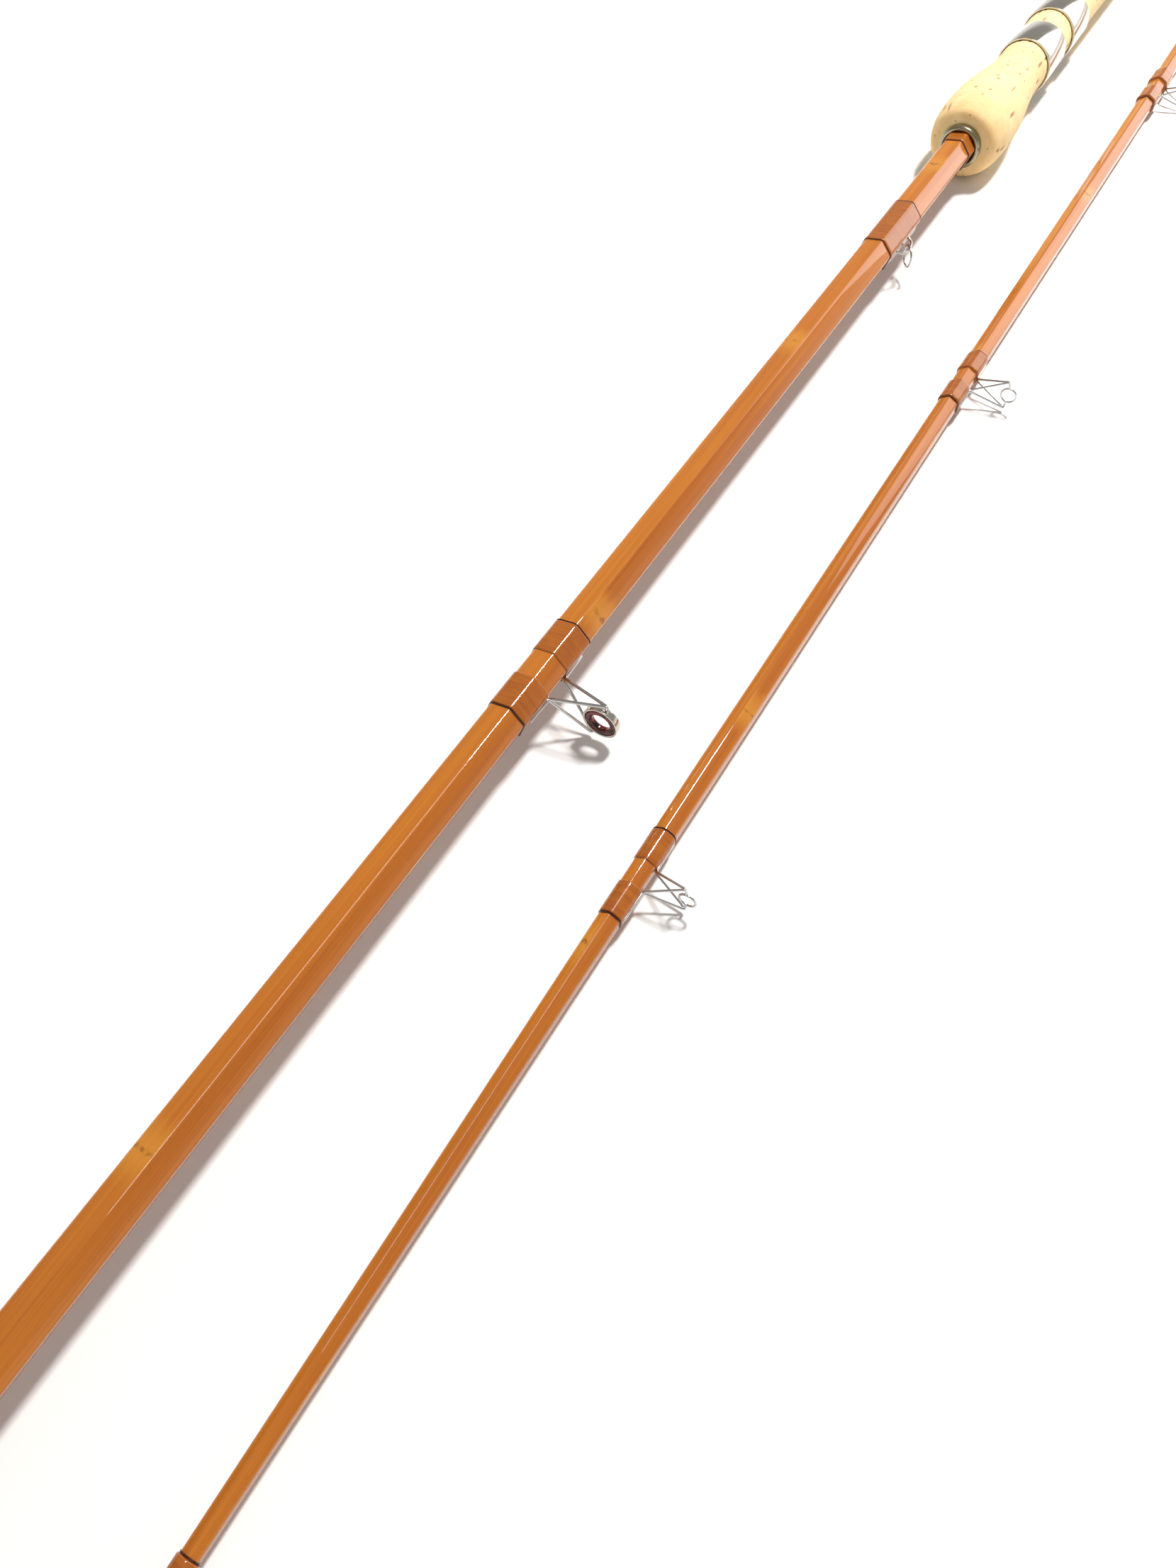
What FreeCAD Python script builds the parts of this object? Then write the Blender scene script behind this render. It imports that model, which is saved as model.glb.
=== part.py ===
"""Two-piece split-cane fishing rod, taken apart, its two sections side by side.

Each section is drawn along its own local Z axis, from its thick end to its thin
end, with local X pointing out of the facet that carries the line guides.  The
section's placement then lays it down along -Y, with +Z up.
"""
import FreeCAD, Part
import Sketcher
import math
import os
from FreeCAD import Vector

DIMENSIONS = {
    # Layout: both sections are parallel to Y.
    "butt_axis_x": -31.5,
    "section_spacing": 59.0,
    "butt_roll": -18.5,
    "tip_roll": 3.0,
    # Overall lengths.
    "butt_length": 1524.0,
    "tip_length": 1524.0,
    "handle_length": 640.0,
    # Cane: half the width across the corners of the hexagon.
    "butt_cane": 7.5,
    "butt_cane_front": 6.6,
    "tip_cane": 5.6,
    "tip_cane_middle": 4.15,
    "tip_cane_end": 1.6,
    "tip_middle_station": 1000.0,
    "glue_gap": 0.05,
    # Cork handle.
    "seat_radius": 12.1,
    "bulb_radius": 17.4,
    "bulb_length": 78.0,
    "bulb_crown": 19.0,
    "bulb_nose_radius": 12.4,
    "neck_lead": 0.45,
    "nose_lead": 0.7,
    "nose_fall": 0.6,
    "grip_length": 150.0,
    "grip_lead": 0.5,
    "check_radius": 9.4,
    "check_nose_radius": 8.6,
    "check_length": 3.6,
    # Butt cap and rubber button.
    "cap_radius": 15.4,
    "cap_length": 24.0,
    "cap_wall": 0.8,
    "button_radius": 17.4,
    "button_length": 16.0,
    "button_round": 4.0,
    "spigot_radius": 5.0,
    "spigot_length": 6.0,
    # Sliding reel bands.
    "band_clearance": 0.3,
    "band_wall": 0.9,
    "band_length": 25.0,
    "band_slant": 7.0,
    "front_band_setback": 86.0,
    "rear_band_setback": 123.0,
    # Whippings.
    "wrap": 0.42,
    "tipping_length": 0.5,
    "tipping_rise": 0.06,
    "handle_wrap_length": 6.5,
    "keeper_setout": 64.0,
    "keeper_wrap_length": 32.0,
    "ferrule_wrap_length": 16.0,
    "tip_top_wrap_length": 12.0,
    # Keeper: a wire saddle and a loose ring.
    "keeper_wire": 0.45,
    "keeper_rise": 3.4,
    "keeper_span": 11.0,
    "keeper_foot": 7.0,
    "keeper_ring_radius": 4.2,
    "keeper_ring_turn": -40.0,
    "keeper_play": 0.12,
    # Butt guide, lined.
    "butt_guide_setout": 359.0,
    "butt_guide_rise": 17.8,
    "butt_guide_span": 10.6,
    "butt_guide_half_width": 8.7,
    "butt_guide_wire": 0.55,
    "butt_guide_wrap": 13.8,
    "bezel_radius": 6.2,
    "bezel_wall": 0.8,
    "bezel_depth": 2.6,
    "liner_bore": 3.3,
    "liner_depth": 2.4,
    "liner_round": 0.9,
    # Second guide of the butt section.
    "second_guide_setback": 140.0,
    "second_guide_rise": 16.0,
    "second_guide_ring": 3.6,
    # Guides of the tip section: distances from the one in front.
    "tip_gap_1": 115.0,
    "tip_gap_2": 160.0,
    "tip_gap_3": 209.0,
    "tip_gap_4": 259.0,
    "tip_gap_5": 262.0,
    "tip_gap_6": 266.0,
    "guide_rise_first": 14.6,
    "guide_rise_last": 9.0,
    "guide_ring_first": 2.9,
    "guide_ring_last": 2.1,
    "guide_growth_steps": 3.0,
    "guide_wire": 0.4,
    "guide_span": 8.6,
    "guide_wrap": 11.5,
    "guide_side": 3.0,
    "foot_length": 10.0,
    "foot_width": 1.5,
    "foot_height": 0.26,
    # Ferrules.
    "socket_radius": 5.0,
    "socket_depth": 36.0,
    "ferrule_wall": 0.9,
    "ferrule_sleeve": 20.0,
    "welt_rise": 0.6,
    "welt_length": 3.0,
    "pin_play": 0.04,
    "pin_length": 34.0,
    "pin_bore": 3.9,
    "shoulder_length": 2.5,
    # Tip-top.
    "tube_wall": 0.4,
    "tube_length": 14.0,
    "tip_ring_radius": 3.0,
    "tip_ring_wall": 0.6,
    "tip_ring_depth": 1.8,
    "tip_liner_bore": 1.6,
    "tip_liner_round": 0.5,
    "tip_ring_rise": 5.4,
    "tip_wire_setback": 10.5,
}

FLAT = math.cos(math.radians(30))

doc = FreeCAD.newDocument("split_cane_rod")
sizes = doc.addObject("Spreadsheet::Sheet", "sizes")
nodes = {}


def fill_sheet():
    """One row per driving dimension: its name, its value and its alias."""
    for row, (name, value) in enumerate(DIMENSIONS.items(), start=1):
        sizes.set("A%d" % row, name)
        sizes.set("B%d" % row, str(value))
        sizes.setAlias("B%d" % row, name)
    doc.recompute()


def size(name):
    """Expression that reads one driving dimension."""
    return "sizes.%s" % name


def value(expression):
    """Number that an expression gives now."""
    found = sizes.evalExpression(str(expression))
    return float(getattr(found, "Value", found))


def section_placement(section):
    """Where a section lies: local Z along -Y, local X out of the guide facet."""
    butt = section == "butt"
    roll = math.radians(value(size("butt_roll" if butt else "tip_roll")))
    out = Vector(math.cos(roll), 0, math.sin(roll))
    along = Vector(0, -1, 0)
    turn = FreeCAD.Rotation(out, along.cross(out), along, "XYZ")
    x = value(size("butt_axis_x"))
    z = value(size("bulb_radius"))
    start = value(size("butt_length")) / 2
    if not butt:
        x += value(size("section_spacing"))
        z = value(pin_sleeve())
        start = value(size("tip_length")) / 2
    return FreeCAD.Placement(Vector(x, start, z), turn)


def pin_sleeve():
    """Radius of the pin ferrule's sleeve, on which the tip section rests."""
    return "%s + %s + %s" % (size("tip_cane"), size("glue_gap"), size("ferrule_wall"))


def publish(label, thing, section, turn=0.0):
    """Name a finished sub-part, lay it in its section and remember it."""
    thing.Label = label
    spin = FreeCAD.Placement(Vector(), FreeCAD.Rotation(Vector(0, 0, 1), turn))
    thing.Placement = section_placement(section).multiply(spin)
    nodes[label] = thing
    return thing


# ---------------------------------------------------------------- cane widths

def butt_corner(station):
    """Corner radius of the butt cane: even in the handle, tapered in front."""
    run = "(%s - %s)" % (size("butt_length"), size("handle_length"))
    fall = "(%s - %s)" % (size("butt_cane"), size("butt_cane_front"))
    ahead = "max(0; (%s) - %s)" % (station, size("handle_length"))
    return "(%s - %s * %s / %s)" % (size("butt_cane"), fall, ahead, run)


def tip_corner(station):
    """Corner radius of the tip cane: two even tapers that meet in the middle."""
    middle = size("tip_middle_station")
    rear_fall = "(%s - %s)" % (size("tip_cane"), size("tip_cane_middle"))
    front_fall = "(%s - %s)" % (size("tip_cane_middle"), size("tip_cane_end"))
    front_run = "(%s - %s)" % (size("tip_length"), middle)
    rear = "%s * min(1; (%s) / %s)" % (rear_fall, station, middle)
    front = "%s * max(0; (%s) - %s) / %s" % (front_fall, station, middle, front_run)
    return "(%s - %s - %s)" % (size("tip_cane"), rear, front)


CORNER = {"butt": butt_corner, "tip": tip_corner}


# ------------------------------------------------------- PartDesign sub-parts

def plane_of(body, role):
    """One of a body's own origin planes."""
    return next(item for item in body.Origin.OriginFeatures if item.Role == role)


def bind(sketch, first, first_end, second, second_end, across, expression):
    """Distance between two points of a sketch, driven by the sheet."""
    kind = "DistanceX" if across else "DistanceY"
    points = (first, first_end, second, second_end)
    number = sketch.addConstraint(Sketcher.Constraint(kind, *points, value(expression)))
    sketch.setExpression("Constraints[%d]" % number, expression)


def closed_outline(sketch, points):
    """A closed run of lines whose corners are all driven by the sheet."""
    places = [Vector(value(x), value(y), 0) for x, y in points]
    count = len(places)
    for index, place in enumerate(places):
        sketch.addGeometry(Part.LineSegment(place, places[(index + 1) % count]), False)
    for index in range(count):
        following = (index + 1) % count
        sketch.addConstraint(Sketcher.Constraint("Coincident", index, 2, following, 1))
    for index, (x, y) in enumerate(points):
        if value(x) == 0:
            sketch.addConstraint(Sketcher.Constraint("PointOnObject", index, 1, -2))
        else:
            bind(sketch, -1, 1, index, 1, True, x)
        if value(y) == 0:
            sketch.addConstraint(Sketcher.Constraint("PointOnObject", index, 1, -1))
        else:
            bind(sketch, -1, 1, index, 1, False, y)


def turned(label, section, outline):
    """Round sub-part: an outline of (radius, station) turned about local Z."""
    body = doc.addObject("PartDesign::Body", label)
    sketch = body.newObject("Sketcher::SketchObject", label + "_outline")
    sketch.AttachmentSupport = (plane_of(body, "XZ_Plane"), [""])
    sketch.MapMode = "FlatFace"
    closed_outline(sketch, outline)
    revolution = body.newObject("PartDesign::Revolution", label + "_turning")
    revolution.Profile = sketch
    revolution.ReferenceAxis = (sketch, ["V_Axis"])
    revolution.Angle = 360
    return publish(label, body, section)


def strip(label, section, stations, turn):
    """One of six glued cane strips: a triangle lofted through its stations."""
    body = doc.addObject("PartDesign::Body", label)
    sketches = []
    for number, station in enumerate(stations):
        corner = CORNER[section](station)
        sketch = body.newObject("Sketcher::SketchObject", "%s_section_%d" % (label, number))
        sketch.AttachmentSupport = (plane_of(body, "XY_Plane"), [""])
        sketch.MapMode = "FlatFace"
        sketch.setExpression(".AttachmentOffset.Base.z", str(station))
        flat, half = "%s * cos(30)" % corner, "%s / 2" % corner
        closed_outline(sketch, [("0", "0"), (flat, "-" + half), (flat, half)])
        sketches.append(sketch)
    loft = body.newObject("PartDesign::AdditiveLoft", label + "_loft")
    loft.Profile = sketches[0]
    loft.Sections = [(sketch, [""]) for sketch in sketches[1:]]
    loft.Ruled = True
    return publish(label, body, section, turn)


# ------------------------------------------------------------ Part sub-parts

def hexagon(name, section, station, extra):
    """Hexagon across the rod at a station, standing out from the cane by extra."""
    polygon = doc.addObject("Part::RegularPolygon", name)
    polygon.Polygon = 6
    polygon.Placement.Rotation = FreeCAD.Rotation(Vector(0, 0, 1), 30)
    corner = CORNER[section](station)
    polygon.setExpression("Circumradius", "%s + (%s) / cos(30)" % (corner, extra))
    polygon.setExpression("Placement.Base.z", str(station))
    return polygon


def hexagon_loft(name, section, start, end, extra):
    """Tapered hexagonal bar between two stations."""
    loft = doc.addObject("Part::Loft", name)
    loft.Sections = [hexagon(name + "_a", section, start, extra),
                     hexagon(name + "_b", section, end, extra)]
    loft.Solid = True
    loft.Ruled = True
    return loft


def cut(name, base, tool):
    """Base less tool."""
    result = doc.addObject("Part::Cut", name)
    result.Base = base
    result.Tool = tool
    return result


def shape_object(name, shape):
    """A shape that is made by Part's own functions."""
    feature = doc.addObject("Part::Feature", name)
    feature.Shape = shape
    return feature


def thread_band(name, section, start, length, rise, tunnels=None):
    """Silk wound round the cane from a station; it covers the given tunnels."""
    end = "(%s) + (%s)" % (start, length)
    outer = hexagon_loft(name + "_outer", section, start, end, rise)
    inner = hexagon_loft(name + "_inner", section, start, end, "0")
    band = cut(name + "_band", outer, inner)
    if tunnels is None:
        return band
    return cut(name + "_tunnelled", band, shape_object(name + "_tunnels", tunnels))


def group(label, section, members):
    """Several like pieces that share a name."""
    if len(members) == 1:
        return publish(label, members[0], section)
    compound = doc.addObject("Part::Compound", label)
    compound.Links = members
    return publish(label, compound, section)


def straight_wire(start, end, radius):
    """Round wire between two points, with round ends."""
    run = end - start
    rod = Part.makeCylinder(radius, run.Length, start, run)
    return [rod, Part.makeSphere(radius, start), Part.makeSphere(radius, end)]


def joined(shapes):
    """One solid from overlapping solids."""
    return shapes[0].multiFuse(shapes[1:]).removeSplitter()


# -------------------------------------------------------------------- guides

def guide_seat(section, station):
    """Distance from the axis to the facet under a guide, with the glue line."""
    corner = value(CORNER[section](station))
    return corner * FLAT + value(size("glue_gap"))


def guide_feet(section, station, span, reach):
    """The two flat feet that the whippings cover; reach is what shows inside them."""
    seat = guide_seat(section, station)
    length = value(size("foot_length"))
    width = value(size("foot_width"))
    height = value(size("foot_height"))
    middle = value(station)
    rear = Vector(seat, -width / 2, middle - span / 2 - length)
    front = Vector(seat, -width / 2, middle + span / 2 - reach)
    return [Part.makeBox(height, width, length + reach, corner) for corner in (rear, front)]


def bridge(section, station, span, rise, half_width, ring, wire):
    """Wire bridge: a V from each foot to both sides of the ring, bent back to it."""
    seat = guide_seat(section, station)
    middle = value(station)
    centre = Vector(seat + rise, 0, middle)
    base = seat + wire
    parts = guide_feet(section, station, span, wire)
    for side in (-1, 1):
        knee = centre + Vector(-wire, side * half_width, 0)
        for end in (-1, 1):
            root = Vector(base, 0, middle + end * (span / 2 - wire))
            parts += straight_wire(root, knee, wire)
        hold = centre + Vector(-wire, side * ring, 0)
        parts += straight_wire(knee, hold, wire)
    return parts, centre


def ring_tube(centre, outer, inner, depth):
    """Flat ring whose axis runs along the rod."""
    start = centre - Vector(0, 0, depth / 2)
    tube = Part.makeCylinder(outer, depth, start)
    return tube.cut(Part.makeCylinder(inner, depth, start))


def rounded_ring(centre, outer, inner, depth, round_over):
    """Ring whose bore is rounded over at both mouths."""
    ring = ring_tube(centre, outer, inner, depth)
    bore = [edge for edge in ring.Edges
            if edge.Closed and abs(edge.Length - 2 * math.pi * inner) < 0.001]
    return ring.makeFillet(round_over, bore)


def lined_guide(label, section, station):
    """Butt guide: bridge, metal bezel and hard stone liner, each on its own."""
    outer = value(size("bezel_radius"))
    inner = outer - value(size("bezel_wall"))
    wire = value(size("butt_guide_wire"))
    parts, centre = bridge(section, station, value(size("butt_guide_span")),
                           value(size("butt_guide_rise")),
                           value(size("butt_guide_half_width")), outer, wire)
    hole = Part.makeCylinder(outer, 4 * outer, centre - Vector(0, 0, 2 * outer))
    frame = joined(parts).cut(hole)
    publish(label + "_bridge", shape_object(label + "_bridge", frame), section)
    bezel = ring_tube(centre, outer, inner, value(size("bezel_depth")))
    publish(label + "_bezel", shape_object(label + "_bezel", bezel), section)
    depth = value(size("liner_depth"))
    bore = value(size("liner_bore"))
    liner = rounded_ring(centre, inner, bore, depth, value(size("liner_round")))
    publish(label + "_liner", shape_object(label + "_liner", liner), section)


def wire_guide(label, section, station, rise, ring):
    """Plain bridge guide: its ring is a loop of the same wire."""
    wire = value(size("guide_wire"))
    half_width = ring + value(size("guide_side"))
    parts, centre = bridge(section, station, value(size("guide_span")), rise,
                           half_width, ring, wire)
    loop = Part.makeTorus(ring, wire, centre, Vector(0, 0, 1))
    publish(label, shape_object(label, joined(parts + [loop])), section)


def guide_whippings(label, section, station, span, length):
    """Two whippings, one over each foot, with a dark band at each outer end."""
    feet = guide_feet(section, station, value(span), 0)
    rear = "(%s) - %s / 2 - %s" % (station, span, length)
    front = "(%s) + %s / 2" % (station, span)
    tunnels = Part.makeCompound(feet)
    wrap = size("wrap")
    group(label, section, [
        thread_band(label + "_rear", section, rear, length, wrap, tunnels),
        thread_band(label + "_front", section, front, length, wrap, tunnels)])
    band = size("tipping_length")
    return ["(%s) - %s" % (rear, band), "(%s) + %s" % (front, length)]


def tippings(label, section, starts):
    """The narrow dark thread bands at the ends of a section's whippings."""
    rise = "%s - %s" % (size("wrap"), size("tipping_rise"))
    length = size("tipping_length")
    bands = []
    for number, start in enumerate(starts):
        bands.append(thread_band("%s_%d" % (label, number), section, start, length, rise))
    group(label, section, bands)


# -------------------------------------------------------------- butt section

CHECK = size("handle_length")


def butt_cane():
    """Six strips, from inside the butt cap to the plug of the ferrule."""
    rear = "%s + %s" % (size("button_length"), size("spigot_length"))
    front = "%s - %s" % (size("butt_length"), size("socket_depth"))
    for number in range(6):
        strip("butt_strip_%d" % (number + 1), "butt", [rear, CHECK, front], 60 * number)


def turned_cork(label, outside, start, end):
    """Cork bored for the cane; outside is its run of edges from start to end."""
    bore = value(size("butt_cane")) + value(size("glue_gap"))
    first = outside[0].Vertexes[0].Point
    last = outside[-1].Vertexes[-1].Point
    lines = [Part.makeLine(last, Vector(bore, 0, end)),
             Part.makeLine(Vector(bore, 0, end), Vector(bore, 0, start)),
             Part.makeLine(Vector(bore, 0, start), first)]
    face = Part.Face(Part.Wire(outside + lines))
    solid = face.revolve(Vector(), Vector(0, 0, 1), 360)
    publish(label, shape_object(label, solid), "butt")


def easy_curve(start, end, start_lead, end_lead):
    """Curve between two points whose ends leave along the given leads."""
    curve = Part.BezierCurve()
    curve.setPoles([start, start + start_lead, end + end_lead, end])
    return curve.toShape()


def handle():
    """Front bulb, parallel reel seat and rear grip, all of cork."""
    check_rear = value(CHECK) - value(size("check_length"))
    neck = check_rear - value(size("bulb_length"))
    crown = check_rear - value(size("bulb_crown"))
    seat = value(size("seat_radius"))
    nose = value(size("bulb_nose_radius"))
    neck_point = Vector(seat, 0, neck)
    crown_point = Vector(value(size("bulb_radius")), 0, crown)
    nose_point = Vector(nose, 0, check_rear)
    rear_lead = Vector(0, 0, value(size("neck_lead")) * (crown - neck))
    front_lead = Vector(0, 0, value(size("nose_lead")) * (check_rear - crown))
    fall = Vector(value(size("nose_fall")) * (crown_point.x - nose), 0, 0)
    turned_cork("cork_front_bulb", [
        easy_curve(neck_point, crown_point, rear_lead, rear_lead * -1),
        easy_curve(crown_point, nose_point, front_lead, fall)], neck, check_rear)
    floor = value(size("button_length")) + value(size("cap_wall"))
    inside = value(size("cap_radius")) - value(size("cap_wall"))
    lip = value(size("button_length")) + value(size("cap_length"))
    grip_end = lip + value(size("grip_length"))
    grip_lead = Vector(0, 0, value(size("grip_lead")) * value(size("grip_length")))
    grip_point = Vector(value(size("cap_radius")), 0, lip)
    seat_point = Vector(seat, 0, grip_end)
    turned_cork("cork_rear_grip", [
        Part.makeLine(Vector(inside, 0, floor), Vector(inside, 0, lip)),
        Part.makeLine(Vector(inside, 0, lip), grip_point),
        easy_curve(grip_point, seat_point, grip_lead, grip_lead * -1)], floor, grip_end)
    bore = "%s + %s" % (size("butt_cane"), size("glue_gap"))
    seat_start = "%s + %s + %s" % (size("button_length"), size("cap_length"),
                                   size("grip_length"))
    seat_end = "%s - %s - %s" % (CHECK, size("check_length"), size("bulb_length"))
    turned("cork_reel_seat", "butt", [
        (bore, seat_start), (size("seat_radius"), seat_start),
        (size("seat_radius"), seat_end), (bore, seat_end)])


def winding_check():
    """Metal collar that closes the front of the cork."""
    bore = "%s + %s" % (size("butt_cane"), size("glue_gap"))
    rear = "%s - %s" % (CHECK, size("check_length"))
    step = "%s - (%s - %s)" % (CHECK, size("check_radius"), size("check_nose_radius"))
    turned("winding_check", "butt", [
        (bore, rear), (size("check_radius"), rear), (size("check_radius"), step),
        (size("check_nose_radius"), CHECK), (bore, CHECK)])


def butt_end():
    """Metal cup over the end of the cork, and the rubber button plugged into it."""
    wall = size("cap_wall")
    radius = size("cap_radius")
    rear = size("button_length")
    front = "%s + %s" % (rear, size("cap_length"))
    floor = "%s + %s" % (rear, wall)
    inside = "%s - %s" % (radius, wall)
    spigot = size("spigot_radius")
    turned("butt_cap", "butt", [
        (spigot, rear), (radius, rear), (radius, front), (inside, front),
        (inside, floor), (spigot, floor)])
    outer = size("button_radius")
    round_over = size("button_round")
    heel = "%s - %s" % (outer, round_over)
    tip = "%s + %s" % (rear, size("spigot_length"))
    turned("rubber_button", "butt", [
        ("0", "0"), (heel, "0"), (outer, round_over), (outer, "%s - %s / 2" % (rear, round_over)),
        ("%s - %s / 2" % (outer, round_over), rear), (spigot, rear), (spigot, tip),
        ("0", tip)])


def reel_band(label, setback):
    """Sliding band; its rear edge slants, so it is longer on the guide side."""
    bore = "%s + %s" % (size("seat_radius"), size("band_clearance"))
    outer = "%s + %s" % (bore, size("band_wall"))
    front = "%s - %s" % (CHECK, setback)
    shell = doc.addObject("Part::Cylinder", label + "_shell")
    hole = doc.addObject("Part::Cylinder", label + "_hole")
    for thing, radius in ((shell, outer), (hole, bore)):
        thing.setExpression("Radius", radius)
        thing.setExpression("Height", size("band_length"))
        thing.setExpression("Placement.Base.z", "%s - %s" % (front, size("band_length")))
    tube = cut(label + "_tube", shell, hole)
    radius = value(outer)
    slant = value(size("band_slant"))
    rear = value(front) - value(size("band_length"))
    spare = radius / 10
    corners = [Vector(-radius - spare, 0, rear - spare), Vector(radius, 0, rear - spare),
               Vector(radius, 0, rear), Vector(-radius - spare, 0, rear + slant)]
    wedge = Part.Face(Part.makePolygon(corners + corners[:1]))
    wedge.translate(Vector(0, -2 * radius, 0))
    tool = shape_object(label + "_slant", wedge.extrude(Vector(0, 4 * radius, 0)))
    publish(label, cut(label, tube, tool), "butt")


def keeper():
    """Wire saddle under a whipping, and the loose ring that hangs on it."""
    wire = value(size("keeper_wire"))
    half = value(size("keeper_span")) / 2
    rise = value(size("keeper_rise"))
    station = "%s + %s + %s / 2" % (CHECK, size("keeper_setout"), size("keeper_wrap_length"))
    middle = value(station)
    seat = guide_seat("butt", station)
    bow_radius = (half * half + rise * rise) / (2 * rise)
    sweep = 2 * math.degrees(math.asin(half / bow_radius))
    start = Vector(seat + wire, 0, middle - half)
    hub = Vector(seat + wire + rise - bow_radius, 0, middle)
    tangent = (start - hub).cross(Vector(0, 1, 0))
    disc = Part.Face(Part.Wire(Part.makeCircle(wire, start, tangent)))
    bow = disc.revolve(hub, Vector(0, -1, 0), sweep)
    foot = value(size("keeper_foot"))
    parts = [bow]
    for end in (-1, 1):
        root = Vector(seat + wire, 0, middle + end * half)
        parts += straight_wire(root, root + Vector(0, 0, end * foot), wire)
    saddle = joined(parts)
    publish("keeper_saddle", shape_object("keeper_saddle", saddle), "butt")
    wrap = thread_band("keeper_whipping", "butt",
                       "%s + %s" % (CHECK, size("keeper_setout")),
                       size("keeper_wrap_length"), size("wrap"), saddle)
    publish("keeper_whipping", wrap, "butt")
    hang = section_placement("butt").multVec(Vector(seat + wire + rise, 0, middle))
    ring = doc.addObject("Part::Torus", "keeper_ring")
    ring.setExpression("Radius1", size("keeper_ring_radius"))
    ring.setExpression("Radius2", size("keeper_wire"))
    drop = value(size("keeper_ring_radius")) - 2 * wire - value(size("keeper_play"))
    turn = FreeCAD.Rotation(Vector(0, 0, 1), -value(size("keeper_ring_turn")))
    upright = FreeCAD.Rotation(Vector(0, 1, 0), 90)
    ring.Label = "keeper_ring"
    ring.Placement = FreeCAD.Placement(hang - Vector(0, 0, drop), turn.multiply(upright))
    nodes["keeper_ring"] = ring


def butt_ferrule():
    """Socket half of the joint: sleeve over the cane, plug, bore and welt."""
    mouth = size("butt_length")
    plug = "%s - %s" % (mouth, size("socket_depth"))
    start = "%s - %s" % (plug, size("ferrule_sleeve"))
    sleeve_bore = "%s + %s" % (butt_corner(start), size("glue_gap"))
    sleeve = "%s + %s" % (sleeve_bore, size("ferrule_wall"))
    bore = size("socket_radius")
    tube = "%s + %s" % (bore, size("ferrule_wall"))
    welt = "%s + %s" % (tube, size("welt_rise"))
    step = "%s - %s" % (mouth, size("welt_length"))
    floor = "%s + %s" % (plug, size("ferrule_wall"))
    neck = "%s + (%s) - (%s)" % (floor, sleeve, tube)
    turned("butt_ferrule", "butt", [
        (sleeve_bore, start), (sleeve, start), (sleeve, floor), (tube, neck),
        (tube, step), (welt, step), (welt, mouth), (bore, mouth), (bore, floor),
        ("0", floor), ("0", plug), (sleeve_bore, plug)])
    return "%s - %s" % (start, size("ferrule_wrap_length"))


def butt_section():
    """Everything that stays on the butt section, and what slides on it."""
    butt_cane()
    handle()
    winding_check()
    butt_end()
    reel_band("reel_band_front", size("front_band_setback"))
    reel_band("reel_band_rear", size("rear_band_setback"))
    wrap = size("wrap")
    tipping = size("tipping_length")
    handle_wrap = thread_band("handle_whipping", "butt", CHECK,
                              size("handle_wrap_length"), wrap)
    publish("handle_whipping", handle_wrap, "butt")
    keeper()
    keeper_start = "%s + %s" % (CHECK, size("keeper_setout"))
    dark = ["%s + %s" % (CHECK, size("handle_wrap_length")),
            "%s - %s" % (keeper_start, tipping),
            "%s + %s" % (keeper_start, size("keeper_wrap_length"))]
    first = "%s + %s" % (CHECK, size("butt_guide_setout"))
    lined_guide("butt_guide", "butt", first)
    dark += guide_whippings("butt_guide_whippings", "butt", first,
                            size("butt_guide_span"), size("butt_guide_wrap"))
    second = "%s - %s" % (size("butt_length"), size("second_guide_setback"))
    wire_guide("second_guide", "butt", second, value(size("second_guide_rise")),
               value(size("second_guide_ring")))
    dark += guide_whippings("second_guide_whippings", "butt", second,
                            size("guide_span"), size("guide_wrap"))
    start = butt_ferrule()
    ferrule_wrap = thread_band("butt_ferrule_whipping", "butt", start,
                               size("ferrule_wrap_length"), wrap)
    publish("butt_ferrule_whipping", ferrule_wrap, "butt")
    dark.append("%s - %s" % (start, tipping))
    tippings("butt_dark_tippings", "butt", dark)


# --------------------------------------------------------------- tip section

def tip_cane():
    """Six strips, from the shoulder of the ferrule pin into the tip-top."""
    rear = "%s + %s" % (size("pin_length"), size("shoulder_length"))
    front = "%s - %s" % (size("tip_length"), size("tube_wall"))
    stations = [rear, size("tip_middle_station"), front]
    for number in range(6):
        strip("tip_strip_%d" % (number + 1), "tip", stations, 60 * number)


def tip_ferrule():
    """Pin half of the joint: hollow pin, shoulder and sleeve over the cane."""
    pin = "%s - %s" % (size("socket_radius"), size("pin_play"))
    bore = size("pin_bore")
    shoulder = size("pin_length")
    cane = "%s + %s" % (shoulder, size("shoulder_length"))
    end = "%s + %s" % (cane, size("ferrule_sleeve"))
    sleeve_bore = "%s + %s" % (size("tip_cane"), size("glue_gap"))
    sleeve = pin_sleeve()
    turned("tip_ferrule", "tip", [
        (bore, "0"), (pin, "0"), (pin, shoulder), (sleeve, shoulder), (sleeve, end),
        (sleeve_bore, end), (sleeve_bore, cane), ("0", cane), ("0", shoulder),
        (bore, shoulder)])
    return end


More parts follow.
